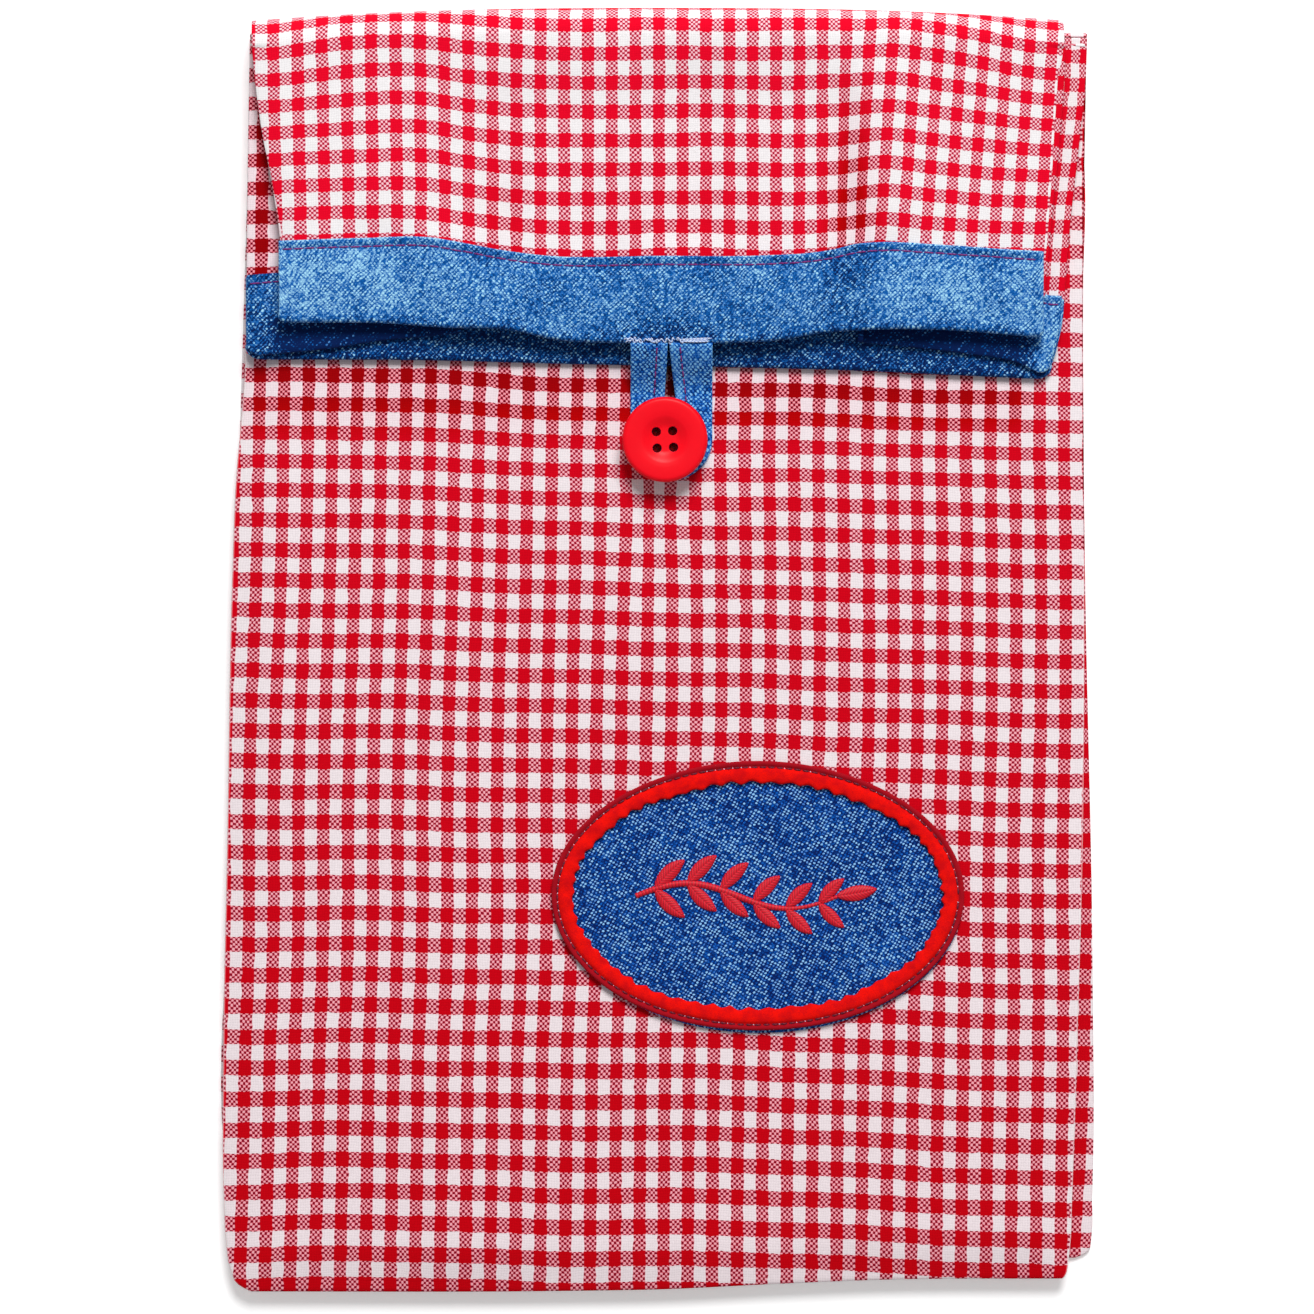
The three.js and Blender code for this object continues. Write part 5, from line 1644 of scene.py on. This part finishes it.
def feltRing():
    # pinked inner edge, cut outer edge, and a groove where the machine stitches hold it down
    spot = patch
    count = 720
    shares = np.array([0, 0.04, 0.1, 0.18, 0.23, 0.27, 0.31, 0.36, 0.45, 0.6, 0.75, 0.88, 0.96, 1.0])
    half = cloth["felt"] / 2
    rings, places = [], []
    for k in range(count):
        angle = 2 * math.pi * k / count
        wander = 0.8 * math.sin(3 * angle) + 0.6 * math.sin(8 * angle + 2)
        scallop = 0.5 + 0.5 * math.sin(spot["scallops"] * angle + wander)
        wobble = 0.22 * math.sin(7 * angle + 1) + 0.16 * math.sin(13 * angle) + 0.12 * math.sin(31 * angle)
        deep = spot["scallopDepth"] * (0.75 + 0.25 * math.sin(11 * angle + 1.5))
        width = spot["feltWidth"] - deep * scallop**0.75 + 0.45 + wobble * 0.6
        wide = 0.12 * math.sin(5 * angle)
        inset = shares * width
        x = spot["x"] + (spot["radiusX"] + wide - inset) * math.cos(angle)
        y = spot["y"] + (spot["radiusY"] + wide - inset) * math.sin(angle)
        fromEdge = np.minimum(shares, 1 - shares) * width
        body = half * np.sqrt(1 - (1 - np.clip(fromEdge / 0.5, 0, 1)) ** 2 * 0.9)
        groove = spot["groove"] * hump(spot["stitchInset"], 0.42, inset)
        puff = spot["puff"] * hump(3.4, 1.5, inset) + 0.08 * math.sin(40 * angle)
        z = spot["feltZ"] + patchRelief(x, y)
        top = np.column_stack([x, y, z + body - groove + puff * easeBetween(0, 0.6, fromEdge)])
        low = np.column_stack([x, y, z - body])[::-1]
        rings.append(np.concatenate([top, low]))
        plain = stacked(inset, angle * 40, 0)
        places.append(np.concatenate([plain, plain[::-1]]))
    piece = sweptPiece("patch_felt", [(rings, places, True)])
    return dress(piece, redFelt, ("patch_ring",), "front_belly")


def ringStitches():
    # the machine stitches that hold the felt, and the pale bobbin thread, pulled up at their needle holes
    spot = patch
    angles = np.linspace(0, 2 * math.pi, 721)
    x = spot["x"] + (spot["radiusX"] - spot["stitchInset"]) * np.cos(angles)
    y = spot["y"] + (spot["radiusY"] - spot["stitchInset"]) * np.sin(angles)
    path = stacked(x, y, spot["feltZ"] + patchRelief(x, y) + cloth["felt"] / 2 - spot["stitchSink"])
    stitches = stitchLine(path, spot["stitch"], spot["stitchGap"], spot["threadRadius"])
    piece = sweptPiece("patch_felt_stitches", stitches)
    dress(piece, ringThread, ("patch_stitching",), "front_belly")
    run = runAlong(path)
    bodies = []
    for at in np.arange(spot["holePitch"] / 10, run[-1], spot["holePitch"]):
        if random.random() < spot["bobbinShare"]:
            hole = pointsAt(at, run, path)
            length = random.uniform(0.2, 0.45)
            tilt = random.uniform(0, math.pi)
            step = np.array([math.cos(tilt), math.sin(tilt), 0]) * length / 2
            top = hole + (0, 0, spot["bobbinLift"])
            bodies.append(thread([hole - step, top, hole + step], spot["bobbinRadius"]))
    holes = sweptPiece("patch_needle_holes", bodies)
    dress(holes, paleThread, body="front_belly")
    return piece, holes


sprig = {
    "length": 62.0,
    "wave": 3.2,
    "leafLength": 10.4,
    "leafWidth": 3.9,
    "pairs": 6,
    "stemWidth": 1.7,
    "height": 0.75,
    "step": 0.16,  # mm between the mesh's rows
    "strand": 0.42,  # mm between the strands of satin stitch
    "strandRelief": 0.07,
    "ragged": 0.05,  # how far the strands' ends stand out, as a share of the width
    "vein": 0.16,  # its depth, as a share of the height
    "leafSlope": 0.9,  # how far a leaf's strands slant from its vein
    "leafAngle": 0.95,  # radians between a leaf and the stem
    "leafCurl": 0.35,
    "baseZ": level("patch_sprig", 0),
}


def satinPad(outlineAt, length, strandSlope, height):
    # a padded shape of satin stitch: outlineAt(t) gives the middle's x, y, the direction and half the width
    steps = max(24, int(length / sprig["step"]))
    cross = np.array([-1, -0.93, -0.8, -0.6, -0.4, -0.2, -0.06, 0, 0.06, 0.2, 0.4, 0.6, 0.8, 0.93, 1])
    rings, places = [], []
    for t in np.linspace(0, 1, steps):
        x, y, direction, half = outlineAt(t)
        offsets = cross * half
        strands = t * length - np.abs(offsets) * strandSlope
        crest = np.cos(2 * math.pi * strands / sprig["strand"])
        ragged = 1 + sprig["ragged"] * crest * (np.abs(cross) > 0.9)
        dome = height * np.sqrt(np.clip(1 - cross**2 * 0.97, 0, 1)) * min(1, 2.2 * half / sprig["stemWidth"])
        vein = sprig["vein"] * height * hump(0, 0.12, cross) if strandSlope else 0
        px = x - math.sin(direction) * offsets * ragged
        py = y + math.cos(direction) * offsets * ragged
        z = sprig["baseZ"] + patchRelief(px, py)
        top = stacked(px, py, z + dome + sprig["strandRelief"] * crest * (dome > 0.1) - vein)
        low = stacked(px, py, z - 0.1)[1:-1][::-1]
        rings.append(np.concatenate([top, low]))
        plain = stacked(strands * yarn["ply"] / sprig["strand"], 0, 0)
        places.append(np.concatenate([plain, plain[1:-1][::-1]]))
    return rings, places, False


def sprigPiece():
    # a wavy stem with a leaf at its tip and pairs of leaves that grow smaller towards it
    spot = sprig
    long, wide, height = spot["leafLength"], spot["leafWidth"], spot["height"]
    stemLength = spot["length"] - long
    startX = patch["x"] - spot["length"] / 2

    def stemAt(t):
        slope = spot["wave"] * 2 * math.pi * math.cos(2 * math.pi * t) / stemLength
        taper = 0.55 + 0.45 * math.sin(math.pi * min(1, t * 1.15 + 0.08)) ** 0.5
        y = patch["y"] + spot["wave"] * math.sin(2 * math.pi * t)
        return startX + t * stemLength, y, math.atan(slope), spot["stemWidth"] / 2 * taper

    def leaf(t, back, angle, curl, shrink, height):
        x0, y0 = stemAt(t)[:2]

        def leafAt(share):
            run, turned = long * shrink * share, angle + curl * share / 2
            belly = math.sin(math.pi * min(1.0, 0.03 + 0.96 * share)) ** 0.75
            half = max(0.12, wide * shrink / 2 * belly)
            x, y = x0 - back + run * math.cos(turned), y0 + run * math.sin(turned)
            return x, y, angle + curl * share, half

        return satinPad(leafAt, long * shrink, spot["leafSlope"], height)

    bodies = [satinPad(stemAt, stemLength, 0, height), leaf(1, 0.6, 0.1, 0.15, 1, height)]
    for i in range(spot["pairs"]):
        t = (i + 0.6) / (spot["pairs"] + 0.2)
        shrink = 1 - 0.18 * (i / spot["pairs"])
        for turn in (1, -1):
            angle, curl = turn * spot["leafAngle"], -turn * spot["leafCurl"]
            bodies.append(leaf(t, 0, angle, curl, shrink, height * 0.95))
    piece = sweptPiece("patch_sprig_stitches", bodies)
    return dress(piece, satinThread, ("patch_sprig",), "front_belly")


patchCloth = patchBase()
feltPiece = feltRing()
feltStitches, needleHoles = ringStitches()
sprigStitches = sprigPiece()
declareSheet(patchCloth, [feltPiece, feltStitches, needleHoles, sprigStitches])
print("patch made")


# Floor, light and camera

studio = {
    "floorSize": 8.0,  # this dictionary is in metres
    "floorDepth": 0.0002,
    "floor": "#f8f8f8",
    "floorGlow": 0.33,
    "cameraPlace": (-0.0008, -0.0020, 1.3987),
    "lens": 150,
    "keyPlace": (0.34, 1.92, 2.25),
    "keyAim": (0, 0.02, 0),
    "keySize": 1.3,
    "keyPower": 80.0,
    "fill": 0.27,
}


def seenItself(tree):
    # 1 where the eye sees this surface, also in a shine or through something clear; 0 where it only lights
    path = addNode(tree, "LightPath", {})
    seen = addNode(tree, "Math", {0: path, 1: path.node.outputs["Is Glossy Ray"]}, operation="MAXIMUM")
    return addNode(tree, "Math", {0: seen, 1: path.node.outputs["Is Transmission Ray"]}, operation="MAXIMUM")


def floorPiece():
    size, z = studio["floorSize"] / 2, -studio["floorDepth"]
    mesh = bpy.data.meshes.new("studio_floor")
    corners = [(-size, -size, z), (size, -size, z), (size, size, z), (-size, size, z)]
    mesh.from_pydata(corners, [], [(0, 1, 2, 3)])
    material, tree, shader = newMaterial("whiteTable", 0.8)
    shader.inputs["Base Color"].default_value = toLinear(studio["floor"])
    shader.inputs["Emission Color"].default_value = (1, 1, 1, 1)
    glow = addNode(tree, "Math", {0: seenItself(tree), 1: studio["floorGlow"]}, operation="MULTIPLY")
    tree.links.new(glow, shader.inputs["Emission Strength"])
    mesh.materials.append(material)
    addObject("studio_floor", mesh)


def studioLight():
    key = bpy.data.lights.new("keyPanel", "AREA")
    key.shape = "DISK"
    key.size = studio["keySize"]
    key.energy = studio["keyPower"]
    lamp = addObject("keyPanel", key)
    lamp.location = studio["keyPlace"]
    shines = Vector(studio["keyAim"]) - Vector(studio["keyPlace"])
    lamp.rotation_euler = shines.to_track_quat("-Z", "Y").to_euler()
    world = bpy.data.worlds.new("paleRoom")
    world.use_nodes = True
    bpy.context.scene.world = world
    tree = world.node_tree
    background = tree.nodes["Background"]
    background.inputs["Color"].default_value = (1, 1, 1, 1)
    strength = addNode(tree, "MapRange", {0: seenItself(tree), 3: studio["fill"], 4: 1.0})
    tree.links.new(strength, background.inputs["Strength"])


def cameraAbove():
    view = bpy.data.cameras.new("overheadCamera")
    view.lens = studio["lens"]
    view.sensor_width = 36
    view.clip_end = 20
    camera = addObject("overheadCamera", view)
    camera.location = studio["cameraPlace"]
    bpy.context.scene.camera = camera


floorPiece()
studioLight()
cameraAbove()
bpy.context.scene.view_settings.view_transform = "Standard"
print("studio set")
